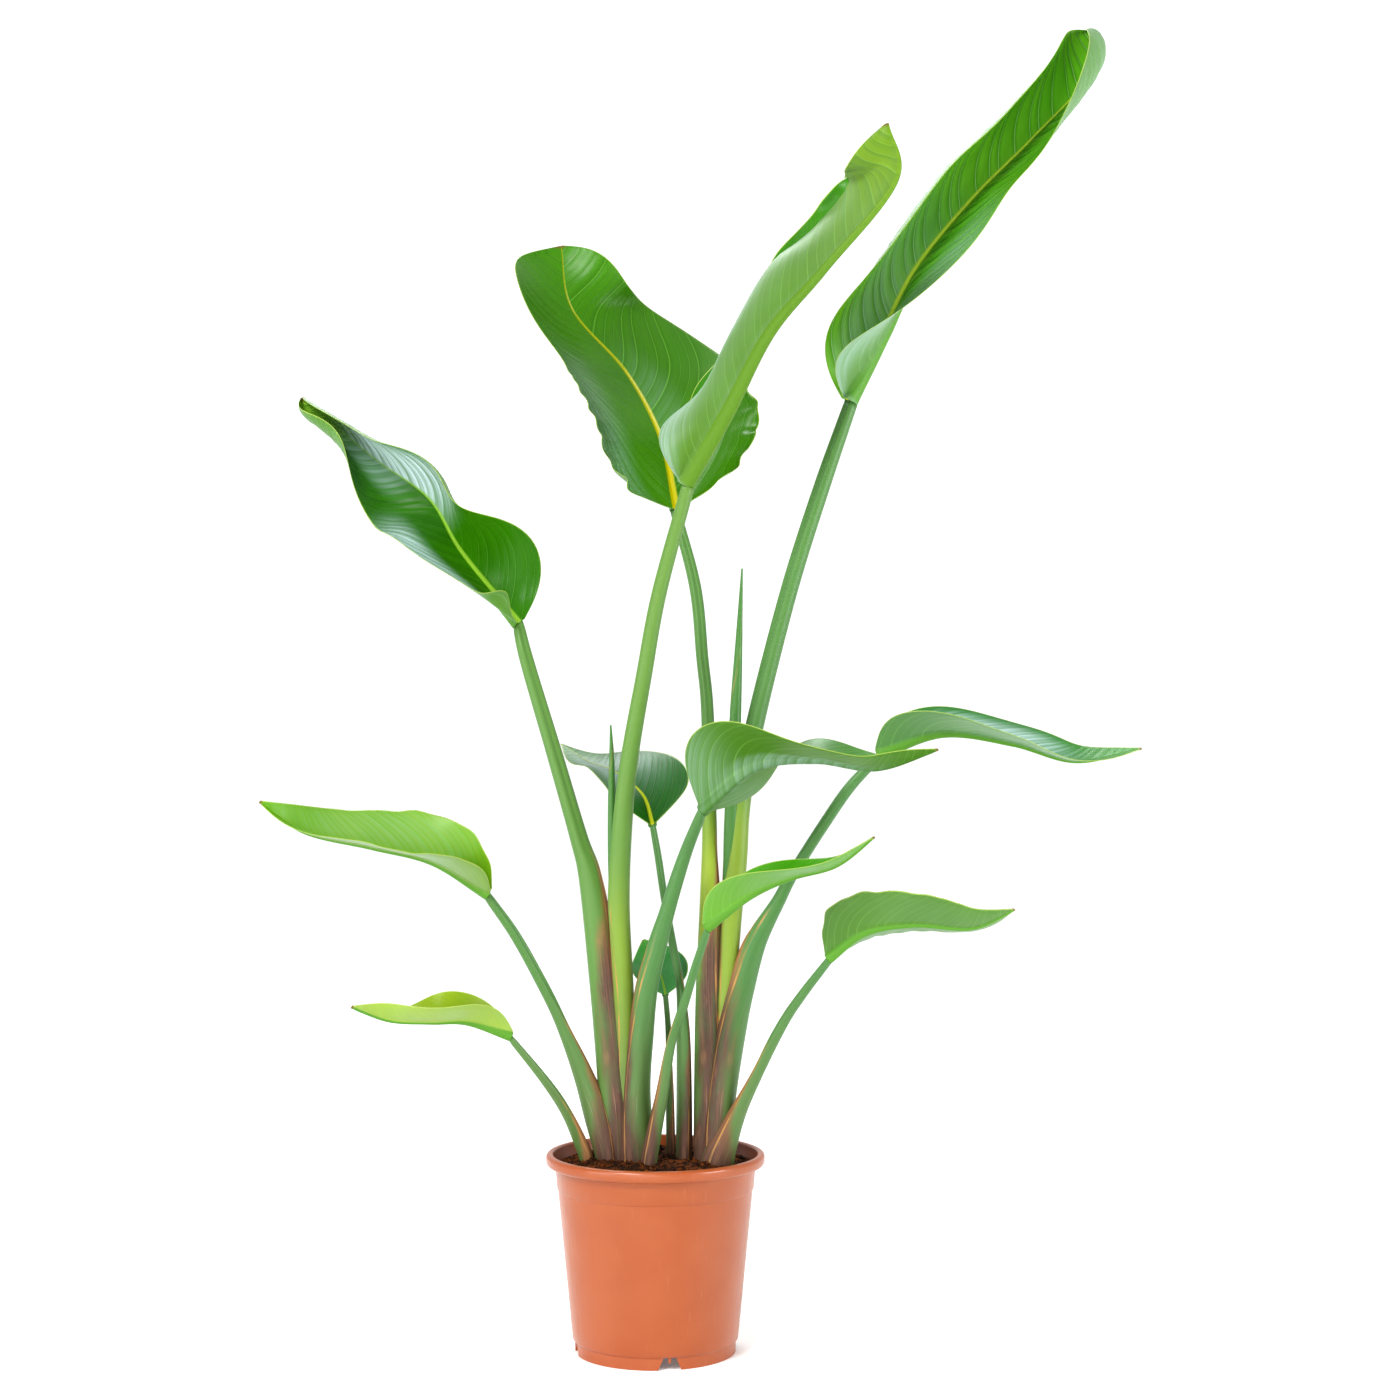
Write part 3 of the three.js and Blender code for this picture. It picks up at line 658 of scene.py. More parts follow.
@dataclass(frozen=True)
class PeatFinish:
    """Moist potting peat, crumbled: near black pores, brown clods and paler fibres."""

    dark: str = "22120a"
    mid: str = "6e3b16"
    light: str = "a06a3a"

    def make(self) -> Material:
        """Builds the material.

        Returns:
            The finished material.
        """
        p = Paint("moist_peat")
        place = p.add(PLACE)
        # Clods are about 6 mm wide. Fibres are 2.4 mm long and half a millimetre thick.
        clod = p.add(CLOUD, place, 160.0, 5.0, 0.65)
        fibre = p.add(CLOUD, p.add(STRETCH, place, (1, 5, 2)), 420.0)
        crumb = p.add(BLEND, p.add(RAMP, clod, 0.42, 0.62), self.dark, self.mid)
        colour = p.add(BLEND, p.add(RAMP, fibre, 0.58, 0.75, 0.0, 0.7), crumb, self.light)
        relief = p.add(PLUS, clod, p.add(TIMES, fibre, 0.5))
        return p.finish({"Base Color": colour, "Roughness": 0.92, "IOR": 1.25}, relief, 1.5)


# Measures of the leaves


@dataclass(frozen=True)
class Nip:
    """A stretch of margin that curls more than the rest.

    Attributes:
        half: the half it lies on.
        at: its middle along the leaf, 0 to 1.
        spread: how far it runs to each side of that.
        start: how far out from the midrib it begins, 0 to 1.
        turn: the added angle at the margin, in degrees.
    """

    half: Side
    at: float
    spread: float
    start: float
    turn: float


@dataclass(frozen=True)
class Leaf:
    """The measures of one leaf.

    Attributes:
        name: what the names of its solids start with.
        leans: the side it leans to; its sheath opens to the other side.
        stalk: rows of x, y, z, half width and half depth, from the soil up.
        rib: the midrib's points, from base to tip.
        faces: azimuth and elevation that the upper face looks to, from base to tip.
        fold: the fold at the midrib, left and right, from base to tip.
        curl: the further curl out to the margin.
        half: flattened half widths, left and right.
        widest: where along the leaf they lie, 0 to 1.
        blunt: how blunt the outline is from there to the tip.
        rib_base: half the midrib's width at its base.
        wave: size, count and phase of the waves across the leaf.
        apex: the height at which the sheath's margins meet the stalk.
        blade: the blade's finish.
        steps: the blade's rows.
        vein_gap: the distance between two side veins.
        pleat: the height of the pleats between them.
        round_tip: how much rounder the tip is than a plain point.
        nips: where the margin curls more.
        frill: size, count and reach of the small scallops near the base.
        bract: how far the brown of the sheath reaches round.
        light: how much paler the stalk is than the outer ones.
        young: how yellow the stalk's foot is.
        fresh: the height above which it is so.
    """

    name: str
    leans: Side
    stalk: list[tuple[float, ...]]
    rib: list[tuple[float, ...]]
    faces: list[tuple[float, float]]
    fold: tuple[list[float], list[float]]
    curl: tuple[list[float], list[float]]
    half: tuple[float, float]
    widest: float
    blunt: float
    rib_base: float
    wave: tuple[float, float, float]
    apex: float
    blade: BladeFinish = BladeFinish()
    steps: int = 200
    vein_gap: float = 13.0
    pleat: float = 0.45
    round_tip: float = 0.0
    nips: tuple[Nip, ...] = ()
    frill: tuple[float, float, float] = (0.0, 10.0, 0.5)
    bract: float = 1.0
    light: float = 0.0
    young: float = 0.0
    fresh: float = 180.0


# Both fans, each from its innermost leaf outwards
LEAVES = [
    Leaf(
        "left_leaf_6", RIGHT,
        stalk=[
            (-27, 0, 180, 9.5, 9), (-29, -2, 260, 10, 9.5), (-31, -5, 340, 10.5, 9.5),
            (-35, -8, 430, 10.5, 9), (-31, -12, 510, 9.5, 8.5), (-24, -17, 572, 8.5, 8),
            (-11, -27, 645, 7.7, 7.4), (4, -36, 725, 7.2, 7),
        ],
        rib=[
            (32, -46, 827), (69, -70, 889), (108, -100, 962), (156, -126, 1016), (221, -129, 1096),
            (213, -131, 1148),
        ],
        faces=[(-124, 11), (-152, 4), (-123, 27)],
        fold=([29, 65, 58, 84, 83, 83, 80], [15, 58, 61, 44, 57, 64, 16]),
        curl=([21, 33, 26, 39, 36, 31, 25], [60, 115, 94, 85, 77, 41, 0]),
        half=(77, 92), widest=0.29, blunt=3.5, rib_base=6.4, wave=(1, 4.5, 0.1), apex=430.0,
        steps=220, pleat=0.5, round_tip=0.4, bract=0.45, light=0.9, young=0.35,
        nips=(Nip(LEFT, 0.72, 0.03, 0.7, 50), Nip(LEFT, 0.8, 0.03, 0.7, -40)),
        blade=BladeFinish(
            under="486c12", keel="587e1c", margin="c8d878",
            painted_light_bands=(
                *both(UNDER, 0.92, 0.35, 0.5, 1.0, 0.45, "88a418"),
                PaintedLightBand(LEFT, UNDER, 0.05, 0.2, 0.75, 0.5, 0.75, "dcecf0"),
                PaintedLightBand(RIGHT, UNDER, 0.05, 0.2, 0.8, 0.6, 0.4),
                PaintedLightBand(RIGHT, UNDER, 0.3, 0.2, 0.75, 0.3, 0.4, "dcecf0"),
            ),
        ),
    ),
    Leaf(
        "left_leaf_5", LEFT,
        stalk=[
            (-34, 1, 180, 14.5, 13.5), (-38, 2, 240, 16.5, 14), (-42, 3, 298, 17, 13.5),
            (-48, 6, 360, 16.5, 12), (-62, 10, 450, 12, 9.5), (-74, 14, 490, 8.8, 8),
            (-98, 22, 571, 7.8, 7.5), (-125, 30, 660, 6.9, 6.8),
        ],
        rib=[(-135, 41, 698), (-190, 51, 768), (-223, 64, 822), (-281, 93, 865), (-357, 115, 928)],
        faces=[(3, 46), (-21, 3), (-32, -14)],
        fold=([41, 44, 41, 23, 28, 51, 23], [-15, 31, 47, 28, 33, 36, 51]),
        curl=([28, 28, 28, 31, 64, 125, 166], [-15, 13, 43, 53, 56, 41, 30]),
        half=(65, 74), widest=0.27, blunt=3.6, rib_base=5.8, wave=(1, 4, 0.6), apex=478.0,
        steps=220, pleat=1.0, round_tip=0.4, bract=1.15, light=0.6,
        nips=(Nip(LEFT, 0.05, 0.03, 0.72, 70), Nip(LEFT, 0.96, 0.05, 0.2, -60)),
        blade=BladeFinish(
            painted_pleat_shading=0.3,
            # Painted shade on the left half, painted sheen, and painted light in the fold at the tip.
            painted_light_bands=(
                PaintedLightBand(LEFT, UPPER, 0.45, 0.7, 0.45, 1.0, 0.9, "1f5400"),
                PaintedLightBand(RIGHT, UPPER, 0.66, 0.36, 0.1, 1.0, 1.0, "dcecf4"),
                PaintedLightBand(LEFT, UPPER, 0.76, 0.22, 0.1, 0.45, 0.4),
                PaintedLightBand(LEFT, UPPER, 0.28, 0.34, 0.9, 0.5, 0.85),
                PaintedLightBand(RIGHT, UPPER, 0.96, 0.16, 0.5, 1.4, 0.8, "a0cc48"),
                PaintedLightBand(LEFT, UPPER, 0.96, 0.16, 0.5, 1.4, 0.8, "a0cc48"),
            ),
        ),
    ),
    Leaf(
        "left_leaf_4", RIGHT,
        stalk=[
            (-18, -5, 180, 18, 17), (-18, -7, 250, 13.5, 15), (-14, -10, 305, 12.6, 13.5),
            (-9, -15, 348, 11.5, 11), (0, -21, 384, 10, 8.5), (10, -28, 418, 7.6, 7),
            (20, -36, 452, 6.8, 6.6), (31, -47, 485, 5.8, 5.8),
        ],
        rib=[(45, -73, 520), (94, -97, 561), (148, -115, 568), (204, -124, 561), (258, -143, 579)],
        faces=[(-180, 25), (-170, 100), (196, 61)],
        fold=([38, 11, 12, 36], [6, 22, 16, 15]),
        curl=([8, 10, 2, 15], [40, 11, 4, 0]),
        half=(63, 66), widest=0.26, blunt=2, rib_base=4.8, wave=(0.8, 3, 0.2), apex=402.0,
        steps=180, vein_gap=11.0, pleat=0.3, bract=0.75,
        blade=BladeFinish(
            under="386402", painted_bloom_sheen="4c7c1c", keel="3c6a0a",
            painted_light_bands=(
                PaintedLightBand(LEFT, UNDER, 0.05, 0.22, 0.6, 0.9, 0.15),
                PaintedLightBand(RIGHT, UNDER, 0.05, 0.22, 0.6, 0.9, 0.2), *both(UNDER, 0.45, 0.45, 0.1, 0.2, 0.3),
            ),
        ),
    ),
    Leaf(
        "left_leaf_3", LEFT,
        stalk=[
            (-45, 0, 180, 12, 18), (-55, 0, 224, 13.5, 14), (-70, -2, 268, 10, 9), (-91, -6, 317, 6, 6),
            (-110, -10, 356, 5.4, 5.4), (-134, -15, 400, 5, 5),
        ],
        rib=[(-160, -22, 438), (-211, -31, 470), (-267, -44, 485), (-327, -60, 500), (-367, -77, 529)],
        faces=[(1, 57), (0, 76), (-1, 59)],
        fold=([66, 17, 22, 5], [80, 42, 33, 50]),
        curl=([65, 10, -2, -4], [25, 1, -6, 3]),
        half=(44, 48), widest=0.34, blunt=2, rib_base=4.2, wave=(1, 3.5, 0.35), apex=330.0,
        steps=160, vein_gap=9.0, pleat=0.22, light=0.2, frill=(0.8, 6.0, 0.9),
        blade=BladeFinish(
            upper="80a014", upper_dark="5a920c", under="7c9448",
            painted_light_bands=both(UPPER, 0.5, 0.5, 0.5, 0.8, 0.14),
        ),
    ),
    Leaf(
        "left_leaf_2", RIGHT,
        stalk=[
            (-7, -22, 180, 8.5, 12), (0, -25, 220, 7.6, 8.5), (6, -29, 250, 6.6, 7), (15, -36, 300, 5, 5),
            (27, -52, 336, 4.4, 4.4), (38, -70, 374, 4, 4),
        ],
        rib=[(50, -91, 412), (88, -110, 443), (125, -122, 461), (166, -141, 474), (199, -163, 501)],
        faces=[(-31, 86), (1, 77), (11, 84)],
        fold=([66, 41, 23, 25], [71, 40, 22, 21]),
        curl=([13, 5, -4, 7], [35, 13, 1, 1]),
        half=(27, 32), widest=0.3, blunt=1.8, rib_base=3.4, wave=(0.6, 2.5, 0.1), apex=330.0,
        steps=140, vein_gap=8.0, pleat=0.15,
        blade=BladeFinish(upper="4f9a0c", upper_dark="38820a", under="5f9426"),
    ),
    Leaf(
        "left_leaf_1", LEFT,
        stalk=[
            (-65, -4, 180, 7.6, 8.5), (-73, -8, 205, 6.8, 7), (-86, -18, 234, 5.4, 5.4),
            (-106, -32, 266, 4.4, 4.4),
        ],
        rib=[(-136, -48, 306), (-175, -63, 322), (-208, -76, 324), (-245, -86, 327), (-277, -110, 342)],
        faces=[(0, 103), (1, 75), (2, 117)],
        fold=([75, 43, 45, 62], [63, 52, 11, 27]),
        curl=([34, 12, 15, 28], [20, 13, -7, 14]),
        half=(27, 30), widest=0.37, blunt=2.6, rib_base=3.2, wave=(0.8, 2, 0.3), apex=248.0,
        steps=130, vein_gap=8.0, pleat=0.15, light=0.2,
        blade=BladeFinish(upper="92a61c", upper_dark="749018", under="98ac44"),
    ),
    Leaf(
        "right_leaf_6", RIGHT,
        stalk=[
            (58, 0, 180, 9, 9), (62, 0, 260, 9.5, 9.5), (67, 1, 340, 10, 9.5), (72, 2, 410, 10.5, 9.5),
            (76, 3, 470, 12, 9.5), (80, 4, 520, 11, 9), (91, 6, 580, 9.2, 8.8), (109, 8, 656, 8.7, 8.4),
            (133, 11, 745, 8.4, 8.2), (162, 15, 835, 8, 7.8),
        ],
        rib=[
            (189, 19, 912), (223, 25, 980), (256, 38, 1047), (311, 57, 1117), (369, 66, 1176),
            (424, 78, 1238), (434, 99, 1292),
        ],
        faces=[(-63, -31), (-27, -15), (34, 51)],
        fold=([-10, 36, 53, 35, 21, 21, 22, 15, 1], [120, 74, 46, 50, 60, 56, 45, 43, 53]),
        curl=([3, 53, 86, 94, 99, 102, 91, 59, 19], [2, -27, -17, -3, 6, 20, 62, 122, 191]),
        half=(73, 84), widest=0.37, blunt=4.2, rib_base=6.8, wave=(1, 5, 0.4), apex=520.0,
        steps=240, vein_gap=19.0, pleat=1.8, round_tip=0.4, bract=0.45, light=0.2, young=0.55, fresh=330.0,
        blade=BladeFinish(
            upper="94d444", upper_dark="509e18", painted_tip_glow="84d630", midrib="c4d84c", vein="d4ecbc",
            vein_line=0.85, painted_pleat_shading=0.7, rib_far=1.0, under="547c3c", keel="5a8c34",
            # Painted shade over the right half, and painted sheen.
            painted_light_bands=(
                PaintedLightBand(RIGHT, UPPER, 0.5, 1.5, 0.5, 2, 0.8, "2c6a10"),
                PaintedLightBand(LEFT, UPPER, 0.15, 0.4, 0.25, 0.7, 0.35),
                PaintedLightBand(RIGHT, UPPER, 0.25, 0.3, 0.8, 0.5, 0.3),
                PaintedLightBand(RIGHT, UNDER, 0.08, 0.3, 0.8, 0.6, 0.35),
            ),
        ),
    ),
    Leaf(
        "right_leaf_5", LEFT,
        stalk=[
            (50, 2, 180, 13.5, 13), (51, 2, 260, 14, 13), (52, 3, 340, 13.5, 12), (53, 5, 432, 10.5, 9.5),
            (52, 12, 500, 7.2, 7), (50, 25, 610, 6.2, 6.2), (45, 42, 665, 6, 6), (38, 60, 735, 5.9, 5.9),
        ],
        rib=[(18, 82, 813), (3, 96, 884), (-32, 126, 954), (-87, 137, 1020), (-100, 170, 1090)],
        faces=[(12, 30), (7, 23), (-3, 27)],
        fold=([15, 28, 29, 29, 28, 7], [8, 6, -8, -23, -6, 23]),
        curl=([23, 29, 29, 29, 28, 18], [81, 43, 17, -3, 0, 11]),
        half=(113, 106), widest=0.29, blunt=2.5, rib_base=5.2, wave=(1.6, 5, 0.15), apex=500.0,
        steps=220, vein_gap=15.0, pleat=0.8, round_tip=0.4, bract=1.3, light=0.35, young=0.7, fresh=420.0,
        frill=(2.6, 13.0, 0.5),
        nips=(
            Nip(RIGHT, 0.29, 0.03, 0.8, 40), Nip(RIGHT, 0.2, 0.025, 0.8, -30),
            Nip(LEFT, 0.09, 0.03, 0.75, 40),
        ),
        blade=BladeFinish(
            upper="468000", upper_dark="2e6400", painted_tip_glow="4a9000", midrib="b0a800", rib_wide=0.95,
            painted_light_bands=(
                PaintedLightBand(LEFT, UPPER, 0.3, 0.5, 0.85, 0.5, 0.22),
                PaintedLightBand(RIGHT, UPPER, 0.35, 0.3, 0.1, 0.35, 0.1),
            ),
        ),
    ),
    Leaf(
        "right_leaf_4", LEFT,
        stalk=[
            (28, 4, 180, 8.5, 12), (28, 5, 250, 8, 11), (27, 8, 306, 7, 8.5), (24, 15, 346, 4.4, 5),
            (17, 40, 380, 4, 4), (7, 80, 430, 3.7, 3.7), (1, 104, 466, 3.6, 3.6),
        ],
        rib=[(-5, 124, 497), (-16, 148, 526), (-46, 185, 549), (-74, 217, 559), (-105, 270, 577)],
        faces=[(5, 12), (4, 82), (2, 55)],
        fold=([43, 21, 10, -2], [31, 29, 15, -21]),
        curl=([17, 2, -4, -12], [28, 2, 3, -12]),
        half=(48, 55), widest=0.15, blunt=1.9, rib_base=3.2, wave=(1, 3.5, 0.5), apex=360.0,
        steps=160, vein_gap=10.0, pleat=0.4,
        blade=BladeFinish(
            upper="226c12", upper_dark="124412", painted_pleat_shading=0.9, midrib="a8b020", rib_wide=0.9,
            painted_light_bands=(
                PaintedLightBand(LEFT, UPPER, 0.55, 0.4, 0.35, 0.6, 0.4),
                PaintedLightBand(RIGHT, UPPER, 0.5, 0.4, 0.35, 0.6, 0.12),
            ),
        ),
    ),
    Leaf(
        "right_leaf_3", RIGHT,
        stalk=[
            (57, -4, 180, 15, 17), (63, -4, 245, 14.6, 15.5), (74, -4, 316, 14.6, 12),
            (83, -4, 354, 13.5, 10), (92, -3, 384, 12, 8.5), (101, -2, 403, 10, 7.4),
            (117, -1, 430, 7, 6.4), (133, 0, 460, 6, 6), (163, 2, 507, 5.9, 5.9), (187, 4, 541, 5.7, 5.7),
        ],
        rib=[(215, 6, 570), (275, -11, 591), (341, -20, 582), (399, -31, 566), (460, -39, 578)],
        faces=[(0, 84), (11, 91), (21, 84)],
        fold=([67, 28, 26, 21], [70, 18, 6, -8]),
        curl=([14, 2, 3, 5], [25, 0, -2, -14]),
        half=(45, 47), widest=0.39, blunt=2, rib_base=4.6, wave=(0.8, 4, 0.7), apex=423.0,
        steps=180, vein_gap=11.0, pleat=0.4,
        blade=BladeFinish(
            upper="2f7a28", upper_dark="1f601e", under="54804a",
            painted_light_bands=(
                PaintedLightBand(LEFT, UPPER, 0.4, 0.45, 0.3, 0.7, 0.8), PaintedLightBand(RIGHT, UPPER, 0.4, 0.45, 0.5, 0.7, 0.7),
            ),
        ),
    ),
    Leaf(
        "right_leaf_2", LEFT,
        stalk=[(15, 26, 180, 5, 5.5), (14, 28, 240, 4.6, 5), (12, 34, 300, 3, 3)],
        rib=[(9, 44, 335), (5, 62, 350), (-2, 82, 364), (-14, 100, 384)],
        faces=[(0, 42), (-5, 48), (-10, 45)],
        fold=([20, 16, 12], [16, 12, 8]),
        curl=([10, 8, 6], [10, 8, 6]),
        half=(30, 30), widest=0.4, blunt=2.2, rib_base=2.6, wave=(0.6, 2, 0.2), apex=300.0,
        steps=100, vein_gap=8.0, pleat=0.2,
        blade=BladeFinish(upper="4f9d55", upper_dark="397d40"),
    ),
    Leaf(
        "right_leaf_1", RIGHT,
        stalk=[
            (58, -14, 180, 17, 14), (75, -18, 224, 9.8, 9), (93, -26, 262, 6.4, 6.2), (120, -42, 317, 5, 5),
            (139, -56, 348, 4.4, 4.4),
        ],
        rib=[(163, -75, 382), (196, -88, 408), (241, -94, 416), (293, -102, 414), (331, -113, 432)],
        faces=[(174, 62), (169, 82), (180, 90)],
        fold=([18, -4, -12, -19], [67, 41, 37, 32]),
        curl=([37, 6, 5, 1], [17, 2, 12, 15]),
        half=(42, 44), widest=0.36, blunt=2.2, rib_base=3.6, wave=(0.8, 3, 0.8), apex=300.0,
        steps=150, vein_gap=9.0, pleat=0.25, frill=(0.8, 7.0, 0.9),
        blade=BladeFinish(under="487024"),
    ),
]

# The rows hold x, y, z, half width and half depth, from the lowest visible point to the tip.
SPEARS = {
    "left_spear": [
        (-41.5, -5, 440, 3.2, 3.2), (-42, -5, 480, 3.6, 3.6), (-42, -4, 530, 3.5, 3.5),
        (-42, -3, 570, 2.4, 2.4), (-43, -2, 600, 0.8, 0.8),
    ],
    "right_spear": [
        (70, 0, 430, 5.6, 5), (72, -1, 500, 6.4, 5.4), (75, -3, 570, 6, 5.4),
        (77, -4, 618, 5.4, 5), (80, -5, 680, 3.4, 3.4), (83, -6, 750, 0.8, 0.8),
    ],
}


# The plant


@dataclass
class Blade:
    """A blade with its midrib, side veins and margins."""

    leaf: Leaf
    thickness: float = 0.95
    edge_thickness: float = 0.45
    edge_taper: float = 6.0
    rib_tip: float = 0.6
    channel: float = 0.32
    channel_width: float = 0.42
    keel: float = 1.75
    keel_width: float = 1.12
    flange: float = 1.5
    tip_half: float = 1.4
    vein_slant: float = 0.72
    vein_arch: float = 0.42
    vein_sway: tuple[float, float] = (0.16, 0.09)
    phase_step: float = 0.3
    overtone: float = 0.35
    inner: int = 6
    outer: int = 30
    evening: int = 160

    def share(self, t: Table) -> Table:
        """Gives the outline of either half.

        Args:
            t: places along the leaf, 0 to 1.

        Returns:
            The half width there, as a share of the widest.
        """
        leaf = self.leaf
        before = np.clip((leaf.widest - t) / leaf.widest, 0, 1)
        after = np.clip((t - leaf.widest) / (1 - leaf.widest), 0, 1)
        end = (1 - after**leaf.blunt) ** (1 - leaf.round_tip * smooth(0.6, 0.9, after))
        return np.where(t < leaf.widest, np.sqrt(1 - before**2) ** 0.9, end)

    def rib_half(self, t: Table) -> Table:
        """Gives half the midrib's width at t."""
        return self.leaf.rib_base + (self.rib_tip - self.leaf.rib_base) * t**0.8

    def frames(self, t: Table) -> tuple[Table, Table, Table, Table]:
        """Reads the midrib.

        Args:
            t: places along it, 0 to 1.

        Returns:
            The middle of the midrib, and the forward, upper-face and right-hand directions.
        """
        forward = heading(self.leaf.rib, t)
        looks = []
        for azimuth, elevation in self.leaf.faces:
            a, e = math.radians(azimuth), math.radians(elevation)
            looks.append((math.cos(e) * math.sin(a), -math.cos(e) * math.cos(a), math.sin(e)))
        look = curve(looks, t)
        up = unit(look - forward * np.sum(look * forward, axis=1, keepdims=True))
        return curve(self.leaf.rib, t), forward, up, np.cross(forward, up)

    def stations(self) -> Table:
        """Places the rows, closer together near both ends."""
        even = np.linspace(0, 1, self.leaf.steps)
        return 0.7 * even + 0.15 * (1 - np.cos(np.pi * even))

    def half_blade(self, t: Table, side: Side) -> dict[str, Table]:
        """Works out one half of the upper face.

        Args:
            t: the rows' places along the leaf.
            side: which half.

        Returns:
            Tables of rows by columns: the distance across, the ways out and up from the midrib,
            the side vein count, the distance to the margin, the pleats' height, and how far the
            nips and frills move the margin outwards and upwards.
        """
        leaf, sign = self.leaf, side.value
        which = (LEFT, RIGHT).index(side)
        widest = leaf.half[which]
        rib = self.rib_half(t)
        least = rib + np.where(t > 0.5, self.tip_half - self.rib_tip, self.flange)
        half = np.maximum(widest * self.share(t), least)
        near = np.linspace(0, 1, self.inner + 1)[None, :] * rib[:, None]
        far = np.linspace(0, 1, self.outer + 1)[1:] ** 0.92
        y = np.hstack([near, rib[:, None] + far[None, :] * (half - rib)[:, None]])
        q = y / half[:, None]
        fold, bend = (np.radians(curve(angles[which], t))[:, None] for angles in (leaf.fold, leaf.curl))
        angle = (fold + bend * q) * smooth(-0.2, 1.1, y / rib[:, None])
        middle = 0.5 * (angle[:, 1:] + angle[:, :-1])
        step, start = np.diff(y, axis=1), np.zeros((len(t), 1))
        out, rise = (np.hstack([start, np.cumsum(way(middle) * step, axis=1)]) for way in (np.cos, np.sin))
        # Two waves of unlike length run along each half, most at the margin.
        size, count, phase = leaf.wave
        turn = TURN * (count * t + phase + (self.phase_step if side is RIGHT else 0))
        ripple = np.sin(turn) + self.overtone * np.sin(2.7 * turn + 1.3 + sign)
        lift = (size * ripple * np.sin(np.pi * t))[:, None] * q**2
        out, rise = out - lift * np.sin(angle), rise + lift * np.cos(angle)
        # The side veins slant and arch towards the tip, at distances that vary a little.
        v = travelled(curve(leaf.rib, t))[:, None] - self.vein_slant * y - self.vein_arch * y**2 / widest
        v, (slow, quick) = v / leaf.vein_gap, self.vein_sway
        v = v + slow * np.sin(1.9 * v + 2 * sign) + quick * np.sin(4.3 * v + leaf.rib_base)
        window = smooth(0.04, 0.2, q) * smooth(1.0, 0.8, q)
        window = window * (np.clip(np.sin(np.pi * t), 0, 1) ** 0.5)[:, None]
        pleat = leaf.pleat * (np.abs(np.sin(np.pi * v)) ** 0.7 - 0.6) * window
        # A nip rolls the outer part up; the frills are small scallops near the base.
        turned, lever = np.full(q.shape, 1e-6), np.zeros(q.shape)
        for nip in leaf.nips:
            if nip.half is side:
                here = bell(t - nip.at, nip.spread)[:, None]
                turned = turned + math.radians(nip.turn) * here * smooth(nip.start, 1, q)
                lever = np.maximum(lever, np.clip(q - nip.start, 0, 1) * half[:, None])
        size, count, reach = leaf.frill
        turn = TURN * count * t + sign
        frill = np.stack([np.sin(turn) + 0.5 * np.sin(1.7 * turn + 2), 0.6 * np.sin(1.3 * turn + 1)])
        frill = size * frill * smooth(reach, 0.3 * reach, t) * smooth(0, 0.06, t)
        outer = smooth(0.6, 1, q)
        push = lever * (np.sin(turned) / turned - 1) + outer * frill[0][:, None]
        lift = lever * (1 - np.cos(turned)) / turned + outer * frill[1][:, None]
        found = {"y": y, "q": q, "out": out, "rise": rise, "v": v, "edge": half[:, None] - y}
        return found | {"pleat": pleat, "push": push * sign, "lift": lift}

    def sheet(self, t: Table) -> dict[str, Table]:
        """Works out the whole upper face, without midrib groove and pleats.

        Args:
            t: the rows' places along the leaf.

        Returns:
            The tables of both halves side by side, left margin first, with the places.
        """
        middle, _, up, right = self.frames(t)
        halves = {side: self.half_blade(t, side) for side in Side}
        found = {}
        for key in halves[RIGHT]:
            left = -halves[LEFT][key] if key in ("out", "y") else halves[LEFT][key]
            found[key] = np.hstack([left[:, :0:-1], halves[RIGHT][key]])
        top = (middle + up * self.rib_half(t)[:, None])[:, None]
        place = top + right[:, None] * found["out"][..., None] + up[:, None] * found["rise"][..., None]
        # Where the midrib bends, rows would crowd at the inner margin: the outer parts are evened out.
        calm = (0.5 * smooth(0.25, 1, found["q"]) * np.ones_like(place[..., 0]))[1:-1, :, None]
        for _ in range(self.evening):
            place[1:-1] += calm * (0.5 * (place[2:] + place[:-2]) - place[1:-1])
        # Nips and frills of the margins are finer than that and are laid on afterwards.
        across, normal = slopes(place)
        found["place"] = place + unit(across) * found["push"][..., None] + normal * found["lift"][..., None]
        return found

    def build(self, material: Material) -> None:
        """Builds the blade and ties it to its solid.

        Args:
            material: its finish.
        """
        t = self.stations()
        up = self.frames(t)[2]
        rib = self.rib_half(t)[:, None]
        table = self.sheet(t)
        y, q, v, edge, sheet = (table[key] for key in ("y", "q", "v", "edge", "place"))
        width = y / rib
        _, normal = slopes(sheet)
        sheet = sheet + normal * table["pleat"][..., None]
        upper = sheet - normal * (self.channel * rib * bell(width, self.channel_width))[..., None]
        keel = self.keel * rib * np.sqrt(np.clip(1 - (width / self.keel_width) ** 2, 0, 1))
        added = (self.thickness - self.edge_thickness) * smooth(0, self.edge_taper, edge)
        keel_way = unit(normal + up[:, None] * bell(width, 0.8)[..., None] * 2)
        lower = sheet - keel_way * (self.edge_thickness + added + keel)[..., None]

        def loop(first: Table, second: Table | None = None) -> Table:
            """Runs round the section: the upper face, then the underside back."""
            return np.concatenate([first, (first if second is None else second)[:, ::-1]], axis=1)

        values = {
            "upper": loop(np.ones_like(y), np.zeros_like(y)),
            "reach": loop(q),
            "along": loop(np.repeat(t[:, None], y.shape[1], axis=1)),
            "rib": loop(np.abs(width)),
            "edge": loop(edge) * MM,
        }
        uv = {"veins": np.stack([loop(v), loop(y) * MM], axis=-1)}
        obj = skin(f"{self.leaf.name}_blade_skin", loop(upper, lower), uv, values)
        settle(obj, material, "blade", f"{self.leaf.name}_blade")


